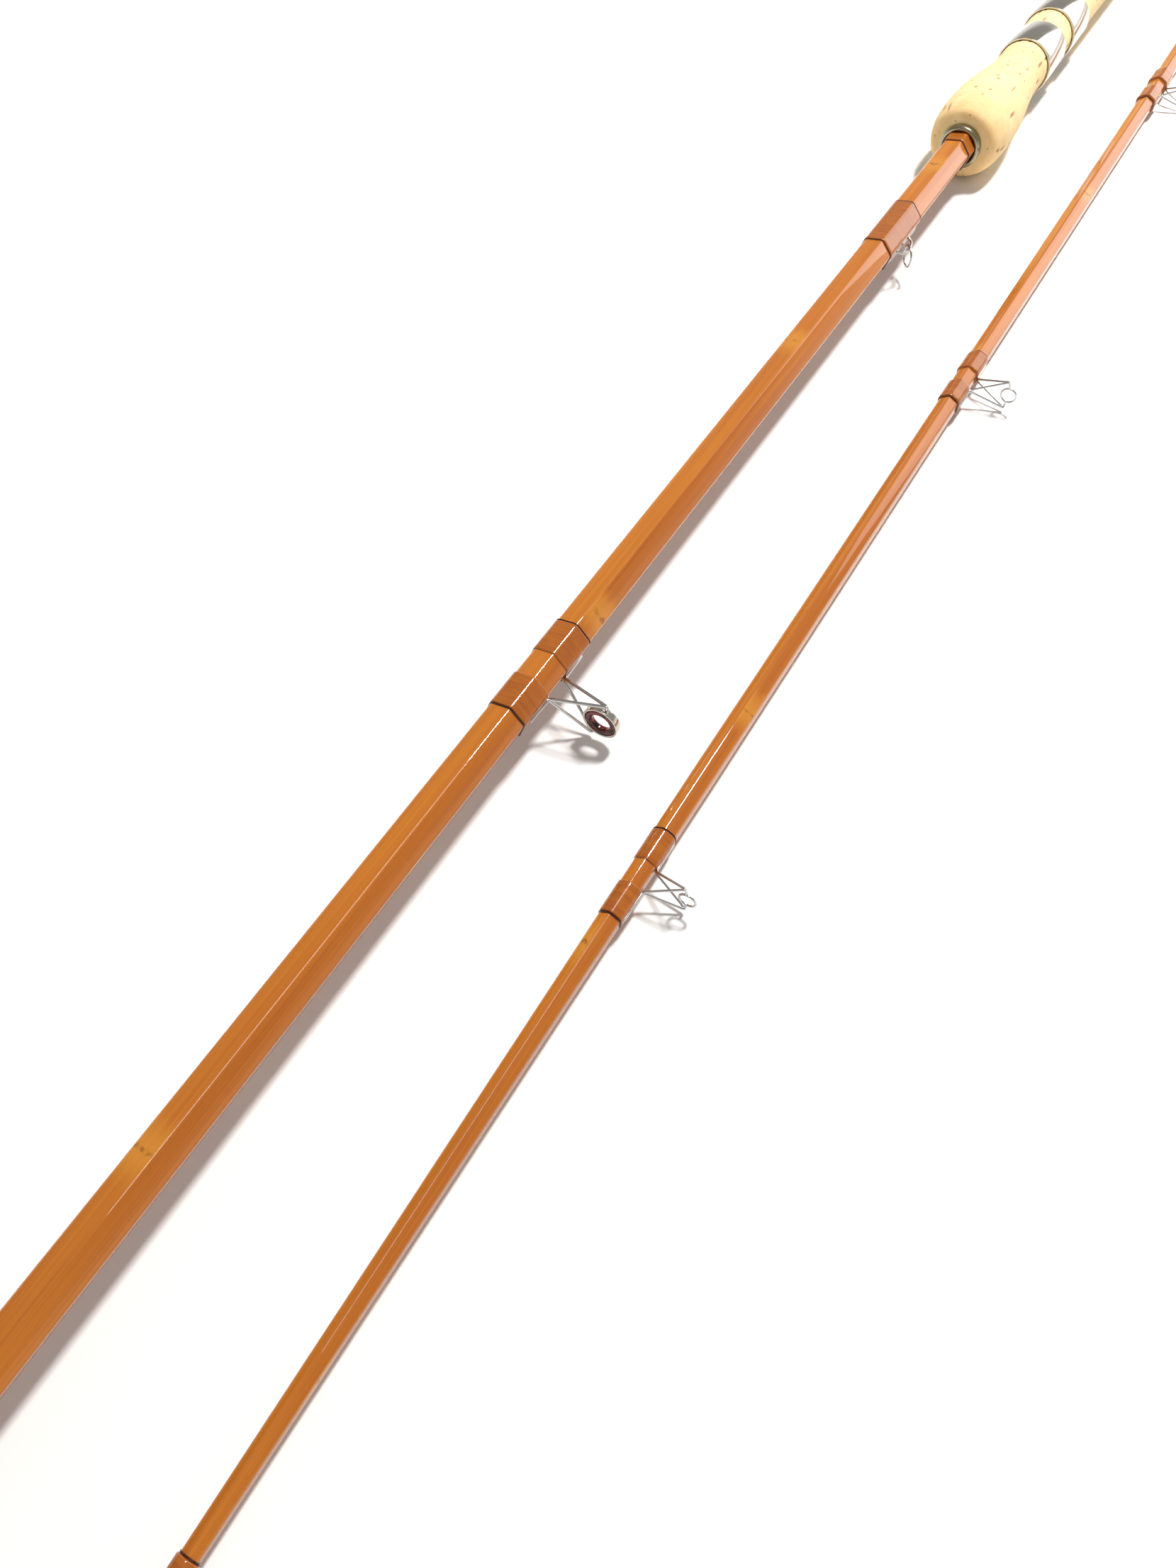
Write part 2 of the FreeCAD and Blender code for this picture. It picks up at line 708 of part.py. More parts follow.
def tip_top():
    """Tube over the end of the cane, carrying a small lined ring on two wires."""
    end = value(size("tip_length"))
    length = value(size("tube_length"))
    wall = value(size("tube_wall"))
    bore = value(tip_corner(size("tip_length") + " - " + size("tube_length")))
    bore += value(size("glue_gap"))
    outer = bore + wall
    tube = Part.makeCylinder(outer, length, Vector(0, 0, end - length))
    tube = tube.cut(Part.makeCylinder(bore, length - wall, Vector(0, 0, end - length)))
    ring = value(size("tip_ring_radius"))
    inner = ring - value(size("tip_ring_wall"))
    depth = value(size("tip_ring_depth"))
    wire = value(size("guide_wire"))
    centre = Vector(value(size("tip_ring_rise")), 0, end - depth / 2)
    parts = [tube]
    for side in (-1, 1):
        root = Vector(0, side * outer, end - value(size("tip_wire_setback")))
        knee = centre + Vector(0, side * (ring + wire / 2), 0)
        parts += straight_wire(root, knee, wire)
    parts.append(Part.makeBox(centre.x - ring + wire - outer + wall, 2 * wire, depth,
                              Vector(outer - wall / 2, -wire, end - depth)))
    inside = Part.makeCylinder(bore, length - wall, Vector(0, 0, end - length))
    hole = Part.makeCylinder(ring, 4 * ring, centre - Vector(0, 0, 2 * ring))
    frame = joined(parts).cut(inside).cut(hole)
    publish("tip_top_tube", shape_object("tip_top_tube", frame), "tip")
    bezel = ring_tube(centre, ring, inner, depth)
    publish("tip_top_bezel", shape_object("tip_top_bezel", bezel), "tip")
    bore = value(size("tip_liner_bore"))
    liner = rounded_ring(centre, inner, bore, depth, value(size("tip_liner_round")))
    publish("tip_top_liner", shape_object("tip_top_liner", liner), "tip")


def tip_section():
    """Everything on the tip section."""
    tip_cane()
    start = tip_ferrule()
    wrap = size("wrap")
    tipping = size("tipping_length")
    ferrule_wrap = thread_band("tip_ferrule_whipping", "tip", start,
                               size("ferrule_wrap_length"), wrap)
    publish("tip_ferrule_whipping", ferrule_wrap, "tip")
    dark = ["%s + %s" % (start, size("ferrule_wrap_length"))]
    station = size("tip_length")
    spread = value(size("guide_rise_first")) - value(size("guide_rise_last"))
    shrink = value(size("guide_ring_first")) - value(size("guide_ring_last"))
    for number in range(1, 7):
        station = "%s - %s" % (station, size("tip_gap_%d" % number))
        share = min(1.0, (number - 1) / value(size("guide_growth_steps")))
        rise = value(size("guide_rise_last")) + spread * share
        ring = value(size("guide_ring_last")) + shrink * share
        wire_guide("tip_guide_%d" % number, "tip", station, rise, ring)
        dark += guide_whippings("tip_guide_%d_whippings" % number, "tip", station,
                                size("guide_span"), size("guide_wrap"))
    tip_top()
    top_start = "%s - %s - %s" % (size("tip_length"), size("tube_length"),
                                  size("tip_top_wrap_length"))
    top_wrap = thread_band("tip_top_whipping", "tip", top_start,
                           size("tip_top_wrap_length"), wrap)
    publish("tip_top_whipping", top_wrap, "tip")
    dark.append("%s - %s" % (top_start, tipping))
    tippings("tip_dark_tippings", "tip", dark)


# -------------------------------------------------------------------- export

def check_document():
    """Stop if any object failed or any sub-part is not a valid solid."""
    for thing in doc.Objects:
        if "Invalid" in thing.State or "Error" in thing.State:
            raise RuntimeError("failed object: " + thing.Name)
    for label, thing in nodes.items():
        if thing.Shape.isNull() or not thing.Shape.isValid() or not thing.Shape.Solids:
            raise RuntimeError("bad shape: " + label)


def export_nodes():
    """One STEP file for each sub-part."""
    os.makedirs("parts", exist_ok=True)
    for label, thing in nodes.items():
        thing.Shape.exportStep("parts/%s.step" % label)


fill_sheet()
butt_section()
tip_section()
doc.recompute()
check_document()
export_nodes()
print("%d sub-parts" % len(nodes))
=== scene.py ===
"""Looks of a two-piece split-cane fishing rod, taken apart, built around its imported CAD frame.

Each section is modelled in its own space: Z runs along the rod from the thick end
to the thin end and X points out of the facet that carries the line guides.  The
section's matrix then lays the finished mesh where the frame has it.
"""

import math
import random

import bmesh
import bpy
import numpy as np
from bpy.props import FloatProperty, FloatVectorProperty, IntProperty, PointerProperty
from mathutils import Matrix, Vector, noise


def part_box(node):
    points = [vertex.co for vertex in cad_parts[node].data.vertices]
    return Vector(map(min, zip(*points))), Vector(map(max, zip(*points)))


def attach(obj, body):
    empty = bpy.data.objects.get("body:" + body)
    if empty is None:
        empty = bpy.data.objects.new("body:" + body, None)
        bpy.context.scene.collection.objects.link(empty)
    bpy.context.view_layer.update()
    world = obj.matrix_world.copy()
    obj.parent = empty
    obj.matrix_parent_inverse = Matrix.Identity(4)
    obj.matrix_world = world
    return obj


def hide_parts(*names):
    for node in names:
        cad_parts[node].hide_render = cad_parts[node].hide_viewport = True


bl_info = {
    "name": "Split-cane rod",
    "version": (1, 0, 0),
    "blender": (4, 5, 0),
    "location": "View3D > Sidebar > Cane Rod",
    "description": "Builds the finished pieces of a split-cane rod around its frame",
    "category": "Object",
}

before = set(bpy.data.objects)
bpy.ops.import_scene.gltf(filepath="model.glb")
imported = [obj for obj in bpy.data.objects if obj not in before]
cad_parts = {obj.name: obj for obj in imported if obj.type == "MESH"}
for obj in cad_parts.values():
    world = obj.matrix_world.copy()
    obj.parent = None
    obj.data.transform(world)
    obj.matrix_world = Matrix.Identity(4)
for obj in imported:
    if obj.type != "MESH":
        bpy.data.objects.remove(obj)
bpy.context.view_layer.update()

MM = 0.001
FLAT = math.cos(math.radians(30))
HEX = 6
FACET_STEP = 0.05      # how far apart the facets lie in the grain map, in metres
SILK_SINK = 0.12 * MM  # how far the inside of a winding lies below the cane's skin
WELD = 0.001 * MM      # points closer than this are one
FULL_TURN = 2 * math.pi


def linear(code):
    """Linear colour of an sRGB hex code."""
    channels = [int(code[i:i + 2], 16) / 255 for i in (0, 2, 4)]
    return tuple(c / 12.92 if c <= 0.04045 else ((c + 0.055) / 1.055) ** 2.4 for c in channels)


def length_prop(name, description, default_mm):
    """A length that the panel shows, given in millimetres."""
    return FloatProperty(name=name, description=description, default=default_mm * MM,
                         min=0.0, precision=5, subtype="DISTANCE", unit="LENGTH")


def colour_prop(name, description, code):
    """A colour that the panel shows, given as an sRGB hex code."""
    return FloatVectorProperty(name=name, description=description, default=linear(code),
                               size=3, min=0.0, max=1.0, subtype="COLOR")


# ------------------------------------------------------------------ properties

class RodShape(bpy.types.PropertyGroup):
    """Sizes that the frame does not settle."""
    butt_roll: FloatProperty(name="Butt roll", description="Turn of the butt section's guide facet",
                             default=math.radians(-18.5), subtype="ANGLE", unit="ROTATION")
    tip_roll: FloatProperty(name="Tip roll", description="Turn of the tip section's guide facet",
                            default=math.radians(3.0), subtype="ANGLE", unit="ROTATION")
    ridge_round: length_prop("Ridge rounding", "How far the cane's ridges are eased back", 0.8)
    silk_round: length_prop("Silk rounding", "How far silk eases the ridges back", 1.05)
    cane_step: length_prop("Cane step", "Spacing of the rings along the cane", 6.0)
    cane_waver: length_prop("Cane waver", "How far hand planing lets the facets waver", 0.05)
    silk_shoulder: length_prop("Silk shoulder", "Length of varnish that eases the end of a winding", 0.5)
    foot_hump: length_prop("Foot hump", "How far a guide foot lifts the silk over it", 0.45)
    foot_width: length_prop("Foot width", "Half width of the hump over a guide foot", 1.3)
    foot_length: length_prop("Foot length", "Length of a guide foot under its winding", 10.0)
    thread: length_prop("Tipping thread", "Width of one turn of the dark tipping", 0.3)
    edge_round: length_prop("Edge rounding", "Rounding of turned metal edges", 0.18)
    cork_grid: length_prop("Cork grid", "Spacing of the cork's surface points", 0.62)
    pit_depth: length_prop("Pit depth", "Depth of the cork's pits", 0.3)
    cork_waver: length_prop("Cork waver", "How far sanding leaves the cork uneven", 0.06)
    cork_ring: length_prop("Cork ring", "Thickness of one glued cork ring", 12.7)
    wire: length_prop("Guide wire", "Radius of a plain guide's wire", 0.4)
    lined_wire: length_prop("Lined guide wire", "Radius of the lined guide's wire", 0.55)
    knee_round: length_prop("Knee rounding", "How far back a wire bend starts", 1.0)
    around: IntProperty(name="Steps around", description="Steps round a turned piece",
                        default=96, min=16, max=256)


class RodFinish(bpy.types.PropertyGroup):
    """Colours of the finishes."""
    cane_light: colour_prop("Cane light", "Pale fibres under amber varnish", "C4761C")
    cane_dark: colour_prop("Cane dark", "Dark fibres under amber varnish", "9C5010")
    cane_node: colour_prop("Cane node", "Pale halo round a node of the culm", "CA882C")
    cane_scar: colour_prop("Node scar", "Dark scar of a node of the culm", "6A3412")
    silk: colour_prop("Silk", "Varnished tan silk", "AC6012")
    silk_deep: colour_prop("Silk deep", "Shaded turns of the silk", "90490C")
    dark_silk: colour_prop("Dark silk", "Varnished dark tipping silk", "4A2010")
    cork: colour_prop("Cork", "Sanded cork", "F2DDAA")
    cork_warm: colour_prop("Cork warm", "Handled, warmer cork", "E0B678")
    cork_pit: colour_prop("Cork pit", "Bark dust in the pits", "834020")
    nickel: colour_prop("Nickel", "Polished nickel silver", "CFCAC0")
    # Painted shade: a darker, olive copy of the nickel colour for the winding check, standing in for the
    # dim reflection it shows
    nickel_painted_shade: colour_prop("Aged nickel", "Nickel silver gone dull and olive", "9A957C")
    steel: colour_prop("Steel", "Bright drawn steel wire", "C6C5C3")
    rubber: colour_prop("Rubber", "Black moulded rubber", "1C1A19")
    agate: colour_prop("Agate", "Polished red-brown agate", "7A1D17")
    agate_deep: colour_prop("Agate deep", "Dark bands of the agate", "1E090C")
    floor: colour_prop("Floor", "Plain pale floor", "F4F3F1")


class RodStage(bpy.types.PropertyGroup):
    """Camera and light."""
    stand: FloatVectorProperty(name="Camera stand", description="Where the camera stands",
                               default=(0.1035, -0.4336, 0.3105), size=3,
                               subtype="TRANSLATION", unit="LENGTH")
    tilt: FloatProperty(name="Camera tilt", description="Angle of the view up from straight down",
                        default=math.radians(33.98), subtype="ANGLE", unit="ROTATION")
    heading: FloatProperty(name="Camera heading", description="Angle of the view left of +Y",
                           default=math.radians(30.79), subtype="ANGLE", unit="ROTATION")
    lens: FloatProperty(name="Lens", description="Focal length on a 36 mm long side",
                        default=27.667, min=1.0, unit="CAMERA")
    key_power: FloatProperty(name="Key power", description="Watts of the lamp that casts the shadows",
                             default=34.0, min=0.0)
    window_power: FloatProperty(name="Window power",
                                description="Watts of the tall window that only shows in gloss",
                                default=18.0, min=0.0)
    bank_power: FloatProperty(name="Bank power",
                              description="Watts of the overhead bank that only shows in gloss",
                              default=8.0, min=0.0)
    room_low: FloatProperty(name="Room light low",
                            description="Strength of the room's light at the horizon",
                            default=1.1, min=0.0)
    room_high: FloatProperty(name="Room light high", description="Strength of the room's light overhead",
                             default=0.38, min=0.0)


# --------------------------------------------------------------------- helpers

def shape():
    return bpy.context.scene.rod_shape


def finish_colours():
    return bpy.context.scene.rod_finish


class Section:
    """Where one section lies, read from the frame."""

    def __init__(self, body, axis_node, strip_node, roll):
        low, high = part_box(axis_node)
        out = Vector((math.cos(roll), 0, math.sin(roll)))
        along = Vector((0, -1, 0))
        across = along.cross(out)
        turn = Matrix((out, across, along)).transposed().to_4x4()
        middle = (low + high) / 2
        self.body = body
        self.matrix = Matrix.Translation((middle.x, 0, middle.z)) @ turn
        self.inverse = self.matrix.inverted()
        points = self.points(strip_node)
        widths = {}
        for x, y, z in points:
            key = round(z, 5)
            widths[key] = max(widths.get(key, 0.0), math.hypot(x, y))
        self.stations = sorted(widths)
        self.widths = [widths[z] for z in self.stations]

    def points(self, node):
        """A CAD node's vertices in the section's own space."""
        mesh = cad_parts[node].data
        flat = np.empty(len(mesh.vertices) * 3)
        mesh.vertices.foreach_get("co", flat)
        inverse = np.array(self.inverse)
        return flat.reshape(-1, 3) @ inverse[:3, :3].T + inverse[:3, 3]

    def span(self, node):
        """Lowest and highest corner of a CAD node in the section's own space."""
        points = self.points(node)
        return Vector(points.min(0)), Vector(points.max(0))

    def corner(self, station):
        """Distance from the axis to the cane's ridges at a station."""
        return float(np.interp(station, self.stations, self.widths))


def sections():
    """The butt and the tip section."""
    sizes = shape()
    return (Section("butt_section", "cork_reel_seat", "butt_strip_1", sizes.butt_roll),
            Section("tip_section", "tip_ferrule", "tip_strip_1", sizes.tip_roll))


def islands(section, name):
    """(first, last) station of each loose part of a CAD node, in the section's space."""
    bm = bmesh.new()
    bm.from_mesh(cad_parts[name].data)
    bmesh.ops.transform(bm, matrix=section.inverse, verts=bm.verts)
    bmesh.ops.remove_doubles(bm, verts=bm.verts, dist=0.01 * MM)
    left = set(bm.verts)
    spans = []
    while left:
        stack = [left.pop()]
        found = []
        while stack:
            vert = stack.pop()
            found.append(vert.co.z)
            for edge in vert.link_edges:
                other = edge.other_vert(vert)
                if other in left:
                    left.remove(other)
                    stack.append(other)
        spans.append((min(found), max(found)))
    bm.free()
    return sorted(spans)


def place(name, bm, section, material, replaced, body=None, sharp=35.0):
    """Turn a bmesh in a section's space into a finished piece on its body."""
    bmesh.ops.transform(bm, matrix=section.matrix, verts=bm.verts)
    mesh = bpy.data.meshes.new(name)
    bm.to_mesh(mesh)
    bm.free()
    mesh.shade_smooth()
    mesh.set_sharp_from_angle(angle=math.radians(sharp))
    mesh.materials.append(material)
    piece = bpy.data.objects.new(name, mesh)
    bpy.context.scene.collection.objects.link(piece)
    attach(piece, body or section.body)
    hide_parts(*replaced)
    return piece


def ring_of(found):
    """The new vertices and the new ring of edges of an extruded ring."""
    verts = [item for item in found["geom"] if isinstance(item, bmesh.types.BMVert)]
    inside = set(verts)
    edges = [item for item in found["geom"] if isinstance(item, bmesh.types.BMEdge)
             and item.verts[0] in inside and item.verts[1] in inside]
    return verts, edges


def hexagon(bm, round_share, facet_cuts=0):
    """Unit hexagon with eased corners, as one ring of edges."""
    made = bmesh.ops.create_circle(bm, cap_ends=False, segments=HEX, radius=1.0)
    bmesh.ops.bevel(bm, geom=made["verts"], offset=round_share, offset_type="OFFSET", segments=4,
                    profile=0.5, affect="VERTICES", material=-1)
    if facet_cuts:
        facets = [edge for edge in bm.edges if edge.calc_length() > 2 * round_share]
        bmesh.ops.subdivide_edges(bm, edges=facets, cuts=facet_cuts)
    return bm.verts[:], bm.edges[:]


def sleeve(section, rings, round_over, facet_cuts=0, closed=True):
    """Hexagonal skin through (station, rise over the cane) rings.

    A closed one ends where it began, so its last ring is bridged to its first."""
    bm = bmesh.new()
    first_corner = section.corner(rings[0][0])
    ring, edges = hexagon(bm, round_over / first_corner, facet_cuts)
    first_edges = edges
    scale = 1.0
    for number, (station, rise) in enumerate(rings):
        if number:
            ring, edges = ring_of(bmesh.ops.extrude_edge_only(bm, edges=edges))
        wanted = section.corner(station) + rise / FLAT
        bmesh.ops.scale(bm, vec=(wanted / scale, wanted / scale, 1), verts=ring)
        bmesh.ops.translate(bm, vec=(0, 0, station - ring[0].co.z), verts=ring)
        scale = wanted
    if closed:
        bmesh.ops.bridge_loops(bm, edges=first_edges + edges)
    else:
        bmesh.ops.holes_fill(bm, edges=bm.edges, sides=0)
    bmesh.ops.recalc_face_normals(bm, faces=bm.faces)
    return bm


def facet_of(point):
    """Number of the facet that a point in section space belongs to."""
    return round(math.atan2(point.y, point.x) / math.radians(60)) % HEX


def merged(pieces):
    """One bmesh from several."""
    joined = bmesh.new()
    for bm in pieces:
        mesh = bpy.data.meshes.new("part")
        bm.to_mesh(mesh)
        bm.free()
        joined.from_mesh(mesh)
        bpy.data.meshes.remove(mesh)
    return joined


# ------------------------------------------------------------------- materials

def add(tree, kind, inputs=None, **settings):
    """Add a node with its settings; an input is a value or the output that feeds it."""
    node = tree.nodes.new(kind)
    for name, value in settings.items():
        setattr(node, name, value)
    for socket, value in (inputs or {}).items():
        if isinstance(value, bpy.types.NodeSocket):
            tree.links.new(value, node.inputs[socket])
        else:
            node.inputs[socket].default_value = value
    return node


def new_material(name):
    """Empty node material and its tree."""
    material = bpy.data.materials.new(name)
    material.use_nodes = True
    material.node_tree.nodes.clear()
    return material, material.node_tree


def close_material(tree, shader):
    """Send a shader to the output."""
    add(tree, "ShaderNodeOutputMaterial", {"Surface": shader.outputs[0]})


def rgba(colour):
    return (*colour, 1.0)


def cane_material():
    """Split bamboo under amber spar varnish: long fibres, pale and dark, below a clear gloss."""
    colours = finish_colours()
    material, tree = new_material("varnished_cane")
    grain = add(tree, "ShaderNodeUVMap", uv_map="grain").outputs[0]
    nodal = add(tree, "ShaderNodeUVMap", uv_map="node").outputs[0]
    # Fibres are about 0.25 mm wide and run for several centimetres; drawn 0.5 mm wide to show.
    fibre_place = add(tree, "ShaderNodeMapping", {"Vector": grain, "Scale": (2000.0, 12.0, 1.0)})
    fibres = add(tree, "ShaderNodeTexNoise",
                 {"Vector": fibre_place.outputs[0], "Scale": 1.0, "Detail": 4.0, "Roughness": 0.65})
    # Broad streaks are 2 to 3 mm wide and a hand long.
    streak_place = add(tree, "ShaderNodeMapping", {"Vector": grain, "Scale": (420.0, 7.0, 1.0)})
    streaks = add(tree, "ShaderNodeTexNoise",
                  {"Vector": streak_place.outputs[0], "Scale": 1.0, "Detail": 2.0})
    apart = add(tree, "ShaderNodeSeparateXYZ", {"Vector": grain})
    strip = add(tree, "ShaderNodeMath", {0: apart.outputs["X"], 1: FACET_STEP}, operation="DIVIDE")
    strip = add(tree, "ShaderNodeMath", {0: strip.outputs[0]}, operation="FLOOR")
    tone = add(tree, "ShaderNodeTexWhiteNoise", {"W": strip.outputs[0]}, noise_dimensions="1D")
    # Slow drift of tone along each strip, over about 150 mm.
    drift_place = add(tree, "ShaderNodeMapping", {"Vector": grain, "Scale": (20.0, 6.5, 1.0)})
    drift = add(tree, "ShaderNodeTexNoise",
                {"Vector": drift_place.outputs[0], "Scale": 1.0, "Detail": 1.0})
    blend = add(tree, "ShaderNodeMath", {0: fibres.outputs[0], 1: 0.55, 2: -0.02},
                operation="MULTIPLY_ADD")
    blend = add(tree, "ShaderNodeMath", {0: streaks.outputs[0], 1: 0.5, 2: blend.outputs[0]},
                operation="MULTIPLY_ADD")
    blend = add(tree, "ShaderNodeMath", {0: drift.outputs[0], 1: 0.55, 2: blend.outputs[0]},
                operation="MULTIPLY_ADD")
    blend = add(tree, "ShaderNodeMath", {0: tone.outputs[0], 1: 0.22, 2: blend.outputs[0]},
                operation="MULTIPLY_ADD")
    spread = add(tree, "ShaderNodeMapRange",
                 {"Value": blend.outputs[0], "From Min": 0.62, "From Max": 1.2})
    wood = add(tree, "ShaderNodeMix", {"Factor": spread.outputs[0], "A": rgba(colours.cane_dark),
                                       "B": rgba(colours.cane_light)}, data_type="RGBA")
    # A node of the culm, filed flush: a pale halo 12 mm long and a broken dark scar 1 mm wide.
    away = add(tree, "ShaderNodeSeparateXYZ", {"Vector": nodal})
    ragged_place = add(tree, "ShaderNodeMapping", {"Vector": grain, "Scale": (700.0, 160.0, 1.0)})
    ragged = add(tree, "ShaderNodeTexNoise",
                 {"Vector": ragged_place.outputs[0], "Scale": 1.0, "Detail": 3.0})
    offset = add(tree, "ShaderNodeMath", {0: ragged.outputs[0], 1: 6 * MM, 2: -3 * MM},
                 operation="MULTIPLY_ADD")
    moved = add(tree, "ShaderNodeMath", {0: away.outputs["Y"], 1: offset.outputs[0]},
                operation="ADD")
    reach = add(tree, "ShaderNodeMath", {0: moved.outputs[0]}, operation="ABSOLUTE")
    halo = add(tree, "ShaderNodeMapRange",
               {"Value": reach.outputs[0], "From Min": 1 * MM, "From Max": 11 * MM,
                "To Min": 0.6, "To Max": 0.0}, interpolation_type="SMOOTHSTEP")
    scar = add(tree, "ShaderNodeMapRange",
               {"Value": reach.outputs[0], "From Min": 0.25 * MM, "From Max": 0.9 * MM,
                "To Min": 1.0, "To Max": 0.0}, interpolation_type="SMOOTHSTEP")
    broken = add(tree, "ShaderNodeMapRange",
                 {"Value": streaks.outputs[0], "From Min": 0.42, "From Max": 0.62,
                  "To Min": 0.05, "To Max": 0.6})
    scar = add(tree, "ShaderNodeMath", {0: scar.outputs[0], 1: broken.outputs[0]},
               operation="MULTIPLY")
    wood = add(tree, "ShaderNodeMix", {"Factor": halo.outputs[0], "A": wood.outputs["Result"],
                                       "B": rgba(colours.cane_node)}, data_type="RGBA")
    wood = add(tree, "ShaderNodeMix", {"Factor": scar.outputs[0], "A": wood.outputs["Result"],
                                       "B": rgba(colours.cane_scar)}, data_type="RGBA")
    # The glue line between two strips darkens the last few hundredths of each ridge.
    edge = add(tree, "ShaderNodeMath", {0: away.outputs["X"]}, operation="ABSOLUTE")
    glue = add(tree, "ShaderNodeMapRange",
               {"Value": edge.outputs[0], "From Min": 0.95, "From Max": 1.0,
                "To Min": 0.0, "To Max": 0.4})
    wood = add(tree, "ShaderNodeMix", {"Factor": glue.outputs[0], "A": wood.outputs["Result"],
                                       "B": rgba(colours.cane_scar)}, data_type="RGBA")
    relief = add(tree, "ShaderNodeBump", {"Height": fibres.outputs[0], "Strength": 0.12,
                                          "Distance": 0.05 * MM})
    # Brushed varnish flows out almost level and keeps a slow ripple over about 10 mm.
    flow_place = add(tree, "ShaderNodeMapping", {"Vector": grain, "Scale": (160.0, 45.0, 1.0)})
    flow = add(tree, "ShaderNodeTexNoise", {"Vector": flow_place.outputs[0], "Scale": 1.0,
                                            "Detail": 1.0})
    coat = add(tree, "ShaderNodeBump", {"Height": flow.outputs[0], "Strength": 0.35,
                                        "Distance": 0.12 * MM})
    shader = add(tree, "ShaderNodeBsdfPrincipled",
                 {"Base Color": wood.outputs["Result"], "Roughness": 0.5,
                  "Specular IOR Level": 0.05, "Normal": relief.outputs[0], "Coat Weight": 1.0,
                  "Coat Roughness": 0.035, "Coat IOR": 1.5, "Coat Normal": coat.outputs[0]})
    close_material(tree, shader)
    return material


def silk_material(name, light, deep, pitch):
    """Wound silk soaked in varnish: turns across the rod, nearly level under a clear gloss."""
    material, tree = new_material(name)
    where = add(tree, "ShaderNodeTexCoord").outputs["Object"]
    apart = add(tree, "ShaderNodeSeparateXYZ", {"Vector": where})
    # One turn of thread is about 0.15 mm; it is drawn coarser so that it can show.
    phase = add(tree, "ShaderNodeMath", {0: apart.outputs["Y"], 1: FULL_TURN / pitch},
                operation="MULTIPLY")
    turns = add(tree, "ShaderNodeMath", {0: phase.outputs[0]}, operation="SINE")
    uneven = add(tree, "ShaderNodeMapping", {"Vector": where, "Scale": (90.0, 900.0, 90.0)})
    uneven = add(tree, "ShaderNodeTexNoise", {"Vector": uneven.outputs[0], "Scale": 1.0,
                                              "Detail": 3.0})
    soak = add(tree, "ShaderNodeTexNoise", {"Vector": where, "Scale": 130.0, "Detail": 2.0})
    shade = add(tree, "ShaderNodeMath", {0: turns.outputs[0], 1: 0.16, 2: uneven.outputs[0]},
                operation="MULTIPLY_ADD")
    shade = add(tree, "ShaderNodeMath", {0: soak.outputs[0], 1: 0.6, 2: shade.outputs[0]},
                operation="MULTIPLY_ADD")
    spread = add(tree, "ShaderNodeMapRange",
                 {"Value": shade.outputs[0], "From Min": 0.5, "From Max": 1.15})
    colour = add(tree, "ShaderNodeMix", {"Factor": spread.outputs[0], "A": rgba(deep),
                                         "B": rgba(light)}, data_type="RGBA")
    relief = add(tree, "ShaderNodeBump", {"Height": turns.outputs[0], "Strength": 0.25,
                                          "Distance": 0.03 * MM})
    coat = add(tree, "ShaderNodeBump", {"Height": soak.outputs[0], "Strength": 0.3,
                                        "Distance": 0.15 * MM})
    shader = add(tree, "ShaderNodeBsdfPrincipled",
                 {"Base Color": colour.outputs["Result"], "Roughness": 0.45,
                  "Specular IOR Level": 0.05, "Normal": relief.outputs[0], "Coat Weight": 1.0,
                  "Coat Roughness": 0.04, "Coat IOR": 1.5, "Coat Normal": coat.outputs[0]})
    close_material(tree, shader)
    return material


